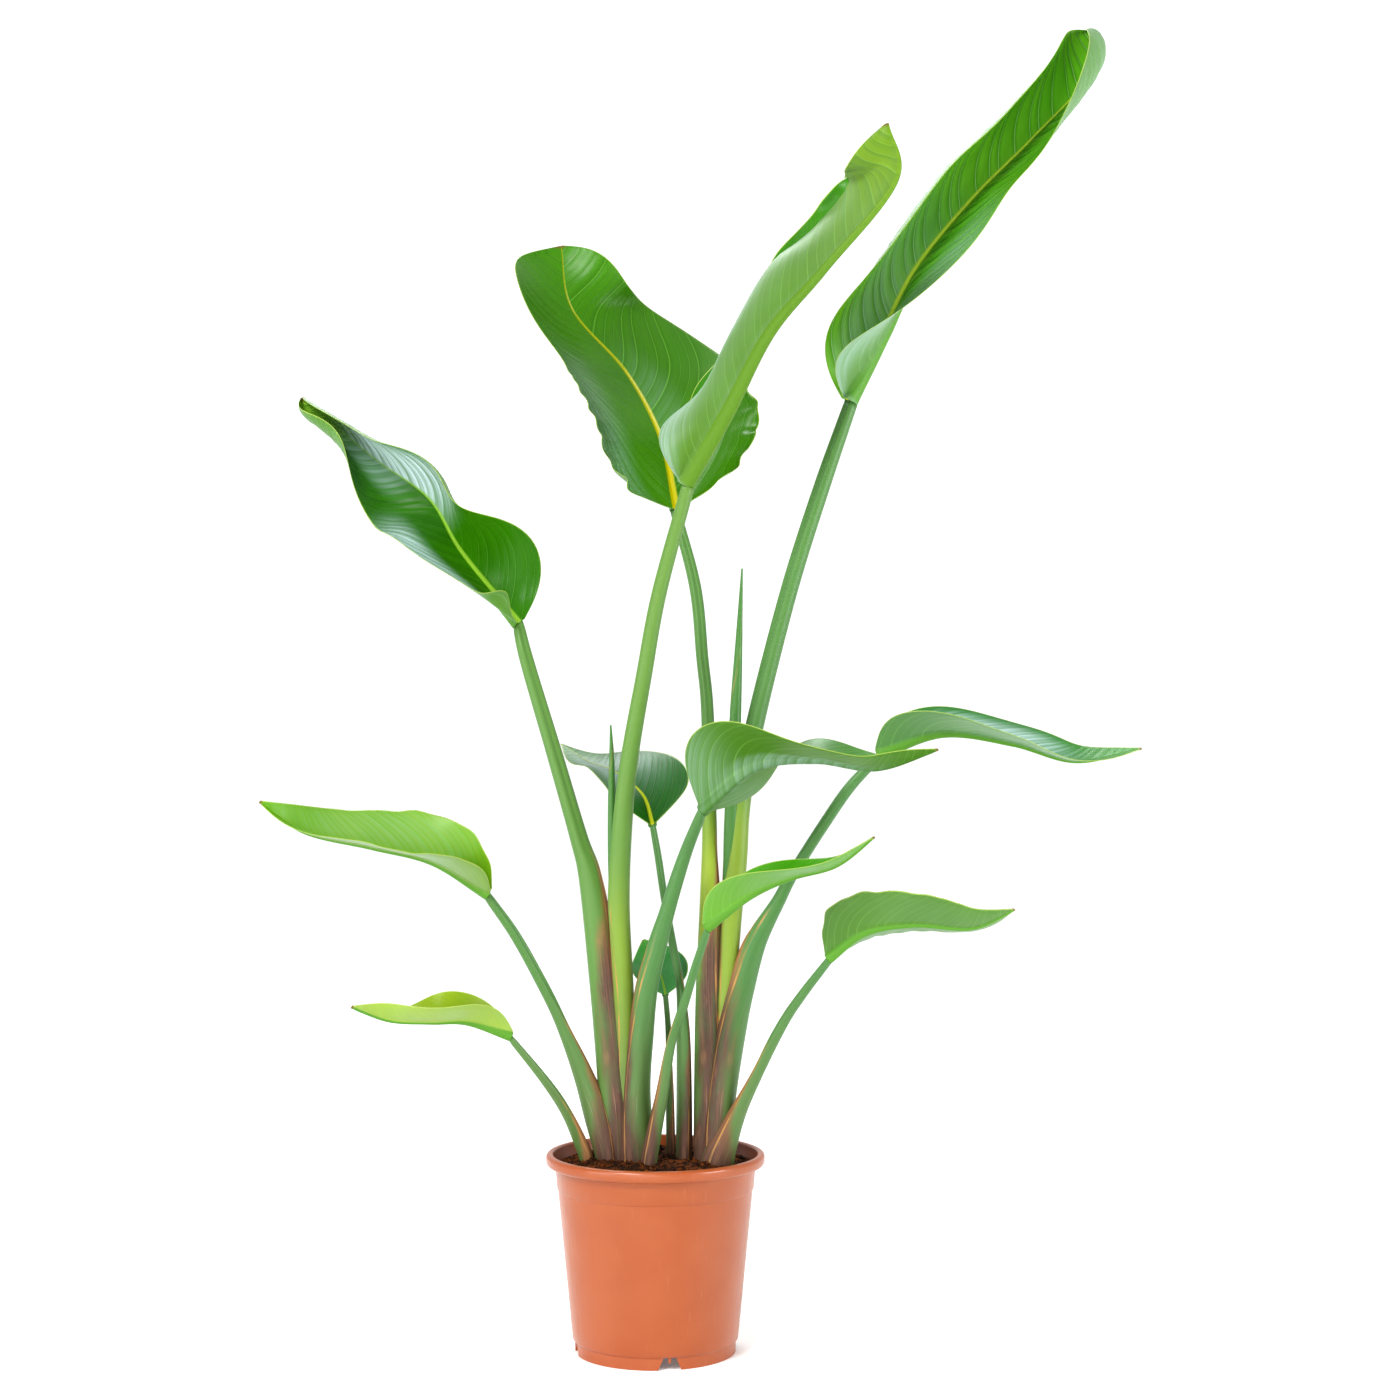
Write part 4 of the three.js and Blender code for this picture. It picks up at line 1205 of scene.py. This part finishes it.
@dataclass
class Stalk:
    """A grooved stalk that widens into its sheath, with the sheath's papery edges.

    Attributes:
        leaf: the leaf's measures.
        root: how deep it stands in the soil.
        root_share: how wide it is down there, next to its width at the soil.
        gap: the clearance between stalk and blade.
        ring: points round it.
        steps: rows along it.
        channel: the depth of its groove, as a share of its half width.
        channel_angle: how wide the groove is, in radians.
        channel_rise: between which shares of its length the groove deepens.
        turn_in: the share of its length from which it turns into the midrib.
        step: how far the sheath's margins stand out.
        margin_angle: how far each lies from the middle of the opening.
        sway: how far they wander from there, in radians.
        sway_length: how slowly they do.
        brown_fade: how far below the apex the brown has come round in full.
        brown_foot: the heights between which it closes round the foot.
        olive_foot: the heights between which the green dulls to olive.
    """

    leaf: Leaf
    root: float = 40.0
    root_share: float = 0.88
    gap: float = 0.35
    ring: int = 48
    steps: int = 150
    channel: float = 0.3
    channel_angle: float = 0.42
    channel_rise: tuple[float, float] = (0.5, 0.8)
    turn_in: float = 0.97
    step: float = 1.1
    margin_angle: float = 50.0
    sway: float = 0.22
    sway_length: float = 41.0
    brown_fade: float = 130.0
    brown_foot: tuple[float, float] = (250.0, 185.0)
    olive_foot: tuple[float, float] = (400.0, 190.0)

    def build(self, material: Material) -> None:
        """Builds the stalk and ties it to its solid.

        Args:
            material: its finish.
        """
        leaf = self.leaf
        _, forward, up, _ = (part[0] for part in Blade(leaf).frames(np.array([0.0, 0.5])))
        path = [np.array(row[:3], float) for row in leaf.stalk]
        path.insert(0, path[0] - (0, 0, self.root))
        path.append(np.array(leaf.rib[0], float) - self.gap * forward)
        t = np.linspace(0, 1, self.steps)
        half_wide, half_deep = (
            curve([leaf.stalk[0][i] * self.root_share, *(row[i] for row in leaf.stalk), leaf.rib_base], t)
            for i in (3, 4)
        )
        centre = curve(path, t)
        tangent = heading(path, t)
        tangent = unit(tangent + (forward - tangent[-1]) * smooth(self.turn_in, 1.0, t)[:, None])
        across = unit(np.cross(np.array([0.0, 1.0, 0.0]), tangent))
        back = np.cross(tangent, across)
        angle = ring_angles(self.ring)
        off = wrapped(angle[None, :] - np.arctan2(back @ up, across @ up)[:, None])
        groove = self.channel * smooth(*self.channel_rise, t)[:, None] * bell(off, self.channel_angle)
        # The sheath is open towards the fan's heart: its two margins lie either side of that.
        heart = 0.0 if leaf.leans is LEFT else np.pi
        from_heart = np.abs(wrapped(angle - heart))[None, :]
        z = centre[:, 2][:, None] * np.ones(self.ring)
        apex = leaf.apex
        margin = math.radians(self.margin_angle) + self.sway * np.sin(z / self.sway_length + leaf.rib_base)
        opening = smooth(0.12, -0.12, from_heart - margin)
        sink = self.step * smooth(apex + 6, apex - 30, z) * opening
        places = centre[:, None] + sum(
            way[:, None] * ((half[:, None] * (1 - groove) - sink) * share)[..., None]
            for way, half, share in ((across, half_wide, np.cos(angle)), (back, half_deep, np.sin(angle)))
        )
        from_margin = (from_heart - margin) * 0.5 * (half_wide + half_deep)[:, None]
        up_it = np.repeat(travelled(centre)[:, None], self.ring, axis=1)
        # The brown reaches further round towards the soil.
        limit = 0.5 + 1.35 * smooth(apex, apex - self.brown_fade, z) + 0.9 * smooth(*self.brown_foot, z)
        values = {
            "bract": smooth(0.8, -0.8, from_heart - limit * leaf.bract) * smooth(apex + 6, apex - 25, z),
            "young": leaf.young * smooth(apex + 60, apex - 40, z) * smooth(leaf.fresh - 90, leaf.fresh, z),
            "paper": smooth(apex + 4, apex - 16, z),
            "low": smooth(*self.olive_foot, z),
            "high": smooth(apex - self.brown_fade, apex - 10, z),
            "light": np.full(z.shape, leaf.light),
        }
        uv = {"round": np.stack([from_margin, up_it], axis=-1) * MM}
        settle(skin(f"{leaf.name}_stalk_skin", places, uv, values), material, "stalk", f"{leaf.name}_stalk")


@dataclass
class Spear:
    """A young leaf that is still rolled up."""

    name: str
    rows: list[tuple[float, ...]]
    ring: int = 40
    steps: int = 90
    turns: float = 1.6
    start: float = 3.6
    step: float = 0.55

    def build(self, material: Material) -> None:
        """Builds the rolled leaf and ties it to its solid.

        Args:
            material: its finish.
        """
        table = np.array(self.rows, float)
        t = np.linspace(0, 1, self.steps)
        centre = curve(table[:, :3], t)
        wide, deep = (curve(table[:, i], t)[:, None] for i in (3, 4))
        angle = ring_angles(self.ring)
        # The free margin winds round the roll and leaves a small step along its line.
        from_margin = wrapped(angle[None, :] - (TURN * self.turns * t + self.start)[:, None])
        step = self.step * smooth(0.6, 0.0, np.abs(from_margin)) * (from_margin > 0)
        step = step * (1 - t[:, None]) ** 0.5
        level = np.zeros(step.shape)
        section = [(wide - step) * np.cos(angle), (deep - step) * np.sin(angle), level]
        length = np.linspace(0, table[-1, 2] - table[0, 2], self.steps)
        uv = {"round": np.stack([from_margin * wide, level + length[:, None]], axis=-1) * MM}
        dry = 0.4 * smooth(0.985, 1.0, t)[:, None]
        shares = {"low": 0, "high": 0, "light": 0, "bract": dry, "young": 0.15, "paper": 0.25}
        values = {key: level + share for key, share in shares.items()}
        obj = skin(f"{self.name}_skin", centre[:, None] + np.stack(section, axis=-1), uv, values)
        settle(obj, material, "spear", self.name)


# Pot and soil


def quarter(
    radius: float, height: float, size: float, start: float, steps: int = 5
) -> list[tuple[float, float]]:
    """Lists points on a quarter round as radius and height; start is its first angle, in degrees."""
    angles = np.radians(np.linspace(start, start + 90, steps + 1))
    return [(radius + size * math.cos(a), height + size * math.sin(a)) for a in angles]


@dataclass
class Pot:
    """The moulded nursery pot: rolled lip, step line and notched foot band."""

    height: float = 190.0
    rim_radius: float = 105.0
    opening: float = 98.0
    lip_foot: float = 178.5
    lip_round: float = 4.2
    crown_round: float = 3.6
    inner_round: float = 2.2
    wall_top: float = 96.6
    wall_foot: float = 79.4
    wall: float = 2.0
    step_height: float = 156.0
    step_size: float = 0.8
    foot_radius: float = 77.0
    foot_band: float = 12.8
    foot_wall: float = 2.4
    floor_top: float = 14.5
    floor_under: float = 11.0
    pad_radius: float = 22.0
    sides: int = 128
    sharp: float = 32.0
    notches: int = 4
    notch_azimuth: float = -79.0
    notch_size: tuple[float, float, float] = (12, 23, 13)
    notch_middle: float = 5.5
    notch_top: float = 12.0
    hole_radius: float = 6.5
    hole_from_middle: float = 62.0
    rib_size: tuple[float, float, float] = (1.6, 2.4, 6)
    rib_inset: float = 1.2
    rib_middle: float = 9.9

    def wall_radius(self, z: float) -> float:
        """Gives the outside of the wall.

        Args:
            z: a height below the lip.

        Returns:
            The radius there.
        """
        share = (z - self.foot_band) / (self.lip_foot - self.foot_band)
        step = self.step_size if z > self.step_height else 0.0
        return self.wall_foot + share * (self.wall_top - self.step_size - self.wall_foot) + step

    def profile(self) -> list[tuple[float, float]]:
        """Lists the section of the moulding.

        Returns:
            Radius and height of its corners, from the foot's middle round to the floor.
        """
        foot, under, line, at = self.foot_radius, self.floor_under, self.step_height, self.wall_radius
        lip, crown, inner = self.lip_round, self.crown_round, self.inner_round
        band, top, floor, wall = self.foot_band, self.lip_foot, self.floor_top, self.wall
        return [
            (self.pad_radius, 0.0), (self.pad_radius + 2, under), (foot - self.foot_wall, under),
            (foot - self.foot_wall, 0.4), (foot - 2.0, 0.0), (foot - 0.5, 0.0), (foot, 0.5),
            (foot + 0.1, band - 2.0), (foot + 0.9, band - 0.8), (self.wall_foot - 0.5, band),
            *((at(z), z) for z in np.linspace(band + 1.2, line - 0.6, 12)),
            (at(line), line - 0.2), (at(line) + 0.55, line + 0.3), (at(line + 1), line + 0.9),
            (self.wall_top - 0.7, top - 5), (self.wall_top, top - 1.2), (self.wall_top + 1.2, top),
            *quarter(self.rim_radius - lip, top + lip, lip, -90),
            *quarter(self.rim_radius - crown, self.height - crown, crown, 0),
            *quarter(self.opening + inner, self.height - inner, inner, 90, 4),
            (self.opening - 1, top), (self.wall_top - wall, top - 4),
            (at(floor + 3) - wall, floor + 3), (at(floor) - wall - 2, floor),
        ]

    def build(self, material: Material) -> None:
        """Builds the pot and ties it to its solid.

        Args:
            material: its finish.
        """
        profile = self.profile()
        deselect()
        bpy.ops.mesh.primitive_circle_add(vertices=self.sides, radius=profile[0][0] * MM, fill_type="NGON")
        pot = bpy.context.object
        pot.name = pot.data.name = "pot_moulding"
        bpy.ops.object.mode_set(mode="EDIT")
        bpy.ops.mesh.select_all(action="SELECT")
        bpy.ops.mesh.select_mode(type="EDGE")
        for (r0, z0), (r1, z1) in zip(profile, profile[1:]):
            bpy.ops.mesh.extrude_edges_move(TRANSFORM_OT_translate={"value": (0, 0, (z1 - z0) * MM)})
            bpy.ops.transform.resize(value=(r1 / r0, r1 / r0, 1))
        bpy.ops.mesh.edge_face_add()
        turn_normals_out()
        for i in range(self.notches):
            self.notch(pot, self.notch_azimuth + 360 / self.notches * i)
        pick_only(pot)
        bpy.ops.object.shade_smooth_by_angle(angle=math.radians(self.sharp))
        settle(pot, material, "pot", "pot")

    def block(self, size: tuple[float, float, float], place: Vector, angle: float) -> Object:
        """Makes a block that faces outwards.

        Args:
            size: its depth, width and height.
            place: its middle.
            angle: where it faces, from +X, in radians.

        Returns:
            The block.
        """
        deselect()
        bpy.ops.mesh.primitive_cube_add(size=1, location=place * MM, rotation=(0, 0, angle))
        bpy.context.object.scale = Vector(size) * MM
        bake_transform()
        return bpy.context.object

    def combine(self, pot: Object, tool: Object, operation: str) -> None:
        """Cuts a tool out of the pot or unites them, and removes the tool.

        Args:
            pot: the pot's mesh.
            tool: the tool's mesh.
            operation: DIFFERENCE to cut, UNION to unite.
        """
        step = pot.modifiers.new("step", "BOOLEAN")
        step.object, step.operation, step.solver = tool, operation, "EXACT"
        pick_only(pot)
        bpy.ops.object.modifier_apply(modifier=step.name)
        bpy.data.objects.remove(tool)

    def notch(self, pot: Object, azimuth: float) -> None:
        """Cuts one foot notch with its drainage hole and leaves its small rib.

        Args:
            pot: the pot's mesh.
            azimuth: where the notch is, from +X, in degrees.
        """
        a = math.radians(azimuth)
        way, up = Vector((math.cos(a), math.sin(a), 0)), Vector((0, 0, 1))
        side = Vector((-way.y, way.x, 0))
        cutter = self.block(self.notch_size, way * self.foot_radius + up * self.notch_middle, a)
        # The notch is narrower at its top.
        for vertex in cutter.data.vertices:
            if vertex.co.z > self.notch_middle * MM:
                vertex.co -= side * (vertex.co.dot(side)) * (1 - self.notch_top / self.notch_size[1])
        self.combine(pot, cutter, "DIFFERENCE")
        place = (way * self.hole_from_middle + up * self.floor_top) * MM
        depth = 2 * self.floor_top * MM
        radius = self.hole_radius * MM
        bpy.ops.mesh.primitive_cylinder_add(vertices=32, radius=radius, depth=depth, location=place)
        bake_transform()
        self.combine(pot, bpy.context.object, "DIFFERENCE")
        place = way * (self.foot_radius - self.rib_inset) + up * self.rib_middle
        self.combine(pot, self.block(self.rib_size, place, a), "UNION")


@dataclass
class Soil:
    """The peat: a filled block with a crumbly top, loose crumbs and a few fibres."""

    pot: Pot
    level: float = 178.0
    rough: float = 2.2
    fine: float = 1.1
    crown: float = 6.0
    crown_edge: tuple[float, float] = (94.0, 60.0)
    top_gap: float = 1.4
    foot_gap: float = 0.8
    floor_gap: float = 0.4
    ring: int = 128
    rings: int = 56
    crumbs: int = 900
    crumb_sizes: tuple[float, float] = (0.6, 2.1)
    fibres: int = 70
    fibre_radius: float = 0.35
    fibre_length: float = 14.0
    lies_over: float = 0.3
    wall_margin: float = 5.0

    def bump(self, x: float, y: float) -> float:
        """Gives the lie of the top.

        Args:
            x: a place on it, in millimetres.
            y: the same.

        Returns:
            How far it stands over its level there.
        """
        slow = 0.5 * math.sin(x / 9 + 1.3) * math.cos(y / 11) + 0.35 * math.sin((x + y) / 6.5)
        slow += 0.25 * math.cos((x - 2 * y) / 8 + 0.6)
        fine = noise.fractal(Vector((x / 5, y / 5, 0.3)), 0.8, 2.1, 4)
        crown = self.crown * float(smooth(*self.crown_edge, math.hypot(x, y)))
        return self.rough * slow + self.fine * fine + crown

    def build(self, material: Material) -> None:
        """Builds the block and what lies on it.

        Args:
            material: its finish.
        """
        floor = self.pot.floor_top + self.floor_gap
        edge = self.pot.wall_radius(self.level) - self.pot.wall - self.top_gap
        foot = self.pot.wall_radius(self.pot.floor_top + 3) - self.pot.wall - self.foot_gap
        radii = [*np.linspace(2, edge, self.rings), foot, foot - 1.2, 2.0]
        heights = [self.level] * self.rings + [floor + 4, floor, floor]
        places = np.zeros((len(radii), self.ring, 3))
        for i, (r, z) in enumerate(zip(radii, heights)):
            for j, a in enumerate(ring_angles(self.ring)):
                x, y = r * math.cos(a), r * math.sin(a)
                places[i, j] = (x, y, z + (self.bump(x, y) if z == self.level else 0))
        settle(skin("soil_block", places, {}, {}), material, "soil", "soil")
        self.scatter(material)

    def scatter(self, material: Material) -> None:
        """Lays crumbs and fibres on the top.

        Args:
            material: their finish.
        """
        draw = np.random.default_rng(SEED)
        reach = self.pot.wall_radius(self.level) - self.pot.wall - self.wall_margin
        bpy.ops.mesh.primitive_ico_sphere_add(subdivisions=2, radius=1, location=(0, 0, 0))
        crumb = bpy.context.object
        thick, long = self.fibre_radius * MM, self.fibre_length * MM
        bpy.ops.mesh.primitive_cylinder_add(vertices=5, radius=thick, depth=long, location=(0, 0, 0))
        fibre = bpy.context.object
        parts = []
        least, more = self.crumb_sizes
        for i in range(self.crumbs + self.fibres):
            r, a = reach * math.sqrt(draw.random()), draw.random() * TURN
            x, y = r * math.cos(a), r * math.sin(a)
            turn = tuple(draw.random(3) * TURN)
            source = crumb if i < self.crumbs else fibre
            piece = source.copy()
            piece.data = source.data.copy()
            bpy.context.collection.objects.link(piece)
            if source is crumb:
                # Most crumbs are small, and each is a lump of its own.
                size = (least + more * draw.random() ** 2.2) * MM
                piece.scale = tuple(size * (0.7 + 0.6 * draw.random(3)))
                for vertex in piece.data.vertices:
                    vertex.co *= 1 + 0.45 * noise.noise(vertex.co * 1.7 + Vector((i, 0, 0)))
                piece.rotation_euler = turn
            else:
                # A fibre lies nearly flat.
                piece.rotation_euler = (math.pi / 2 + 0.25 * (draw.random() - 0.5), 0, turn[2])
                piece.scale = (1, 1, 0.4 + 0.8 * draw.random())
            piece.location = (x * MM, y * MM, (self.level + self.bump(x, y) + self.lies_over) * MM)
            parts.append(piece)
        for source in (crumb, fibre):
            bpy.data.objects.remove(source)
        pick_only(parts[0])
        for piece in parts:
            piece.select_set(True)
        bake_transform()
        bpy.ops.object.join()
        crumbs = bpy.context.object
        crumbs.name = crumbs.data.name = "soil_crumbs"
        bpy.ops.object.shade_smooth()
        settle(crumbs, material, "soil")


# Stage


@dataclass
class Studio:
    """Pale floor, soft light and the camera at the photograph's place.

    Attributes:
        camera: where the camera stands.
        lens: its focal length in millimetres.
        sensor: its sensor's width in millimetres.
        surroundings: how bright the surroundings light the plant.
        mirrored: how bright they are in its glossy surfaces.
        sun: how strong the sun is.
        sun_angle: how wide it is, in degrees, for soft shadows.
        cool: the tint of the lamps at the sides and the top.
        aim: what the lamps look at.
    """

    camera: tuple[float, float, float] = (0.0427, -2.436, 0.624)
    lens: float = 65.24
    sensor: float = 36.0
    surroundings: float = 0.34
    mirrored: float = 0.75
    sun: float = 2.2
    sun_angle: float = 24.0
    cool: tuple[float, float, float] = (0.93, 0.97, 1)
    aim: tuple[float, float, float] = (0.05, 0, 0.7)

    def floor(self) -> None:
        """Adds a pale, matt, faintly glowing floor, wide enough to fill the view."""
        p = Paint("pale_studio_floor")
        tone = p.add(BLEND, p.add(CLOUD, p.add(PLACE), 2.0), "f9f9f8", "fcfcfb")
        glow = {"Emission Strength": 0.12, "Emission Color": (1, 1, 1, 1)}
        material = p.finish({"Base Color": tone, "Roughness": 0.8} | glow)
        deselect()
        bpy.ops.mesh.primitive_plane_add(size=60, location=(0, 0, 0))
        floor = bpy.context.object
        floor.name = "studio_floor"
        floor.data.materials.append(material)

    def light(self) -> None:
        """Adds the white surroundings, a soft sun and four large lamps."""
        world = bpy.data.worlds.new("white_studio")
        bpy.context.scene.world = world
        world.use_nodes = True
        tree = world.node_tree
        back = tree.nodes["Background"]
        back.inputs["Color"].default_value = (1, 1, 1, 1)
        # The backdrop is blown out to white for the camera, lights the plant as a pale grey and
        # shows in its waxy and moulded surfaces as a bright sheen.
        rays = add_node(tree, "ShaderNodeLightPath", {}).outputs
        strength = self.surroundings
        for kind, wanted in (("Is Glossy Ray", self.mirrored), ("Is Camera Ray", 1.0)):
            ends = {"Value": rays[kind], "To Min": strength, "To Max": wanted}
            strength = add_node(tree, "ShaderNodeMapRange", ends).outputs[0]
        tree.links.new(strength, back.inputs["Strength"])
        bpy.ops.object.light_add(type="SUN", location=(-1.5, -1.8, 3.0))
        sun = bpy.context.object
        sun.name = "key_light"
        sun.data.energy, sun.data.angle = self.sun, math.radians(self.sun_angle)
        sun.rotation_euler = Vector((0.95, 1.5, -1.5)).to_track_quat("-Z", "Y").to_euler()
        for name, place, size, power, tint in (
            ("left", (-2.4, -1.6, 0.4), 1.5, 30, self.cool),
            ("front", (-0.5, -2.6, 0.2), 1.6, 26, (1, 1, 1)),
            ("right", (2.3, -1.1, 0.9), 1.2, 38, self.cool),
            ("top", (-0.4, 1.6, 2.6), 1.4, 36, self.cool),
        ):
            bpy.ops.object.light_add(type="AREA", location=place)
            lamp = bpy.context.object
            lamp.name = name + "_light"
            lamp.data.size, lamp.data.energy, lamp.data.color = size, power, tint
            lamp.rotation_euler = (Vector(self.aim) - Vector(place)).to_track_quat("-Z", "Y").to_euler()

    def shoot(self) -> None:
        """Adds the camera and sets how the picture is shown."""
        bpy.ops.object.camera_add(location=self.camera, rotation=(math.pi / 2, 0, 0))
        camera = bpy.context.object
        camera.data.lens, camera.data.sensor_width = self.lens, self.sensor
        camera.data.clip_end = 50
        scene = bpy.context.scene
        scene.camera = camera
        scene.view_settings.view_transform = "Standard"
        scene.view_settings.look = "Medium High Contrast"


def main() -> None:
    """Builds the stage and the plant, and reports each piece."""
    logging.basicConfig(level=logging.INFO, format="%(name)s: %(message)s")
    studio = Studio()
    studio.floor()
    studio.light()
    studio.shoot()
    pot = Pot()
    pot.build(PotFinish().make())
    Soil(pot).build(PeatFinish().make())
    stalk_finish = StalkFinish().make("leaf_stalk_waxy")
    finishes: dict[BladeFinish, Material] = {}
    for leaf in LEAVES:
        if leaf.blade not in finishes:
            finishes[leaf.blade] = leaf.blade.make(f"leaf_blade_{len(finishes) + 1}")
        Stalk(leaf).build(stalk_finish)
        Blade(leaf).build(finishes[leaf.blade])
    # A young leaf is a deeper, bluer green than the stalks, and dries to a paler brown.
    rolled = StalkFinish(green="34702c", deep="265a28", young="7a9a30", bract="6b4a2c")
    spear_finish = rolled.make("rolled_leaf")
    for name, rows in SPEARS.items():
        Spear(name, rows).build(spear_finish)


if __name__ == "__main__":
    main()
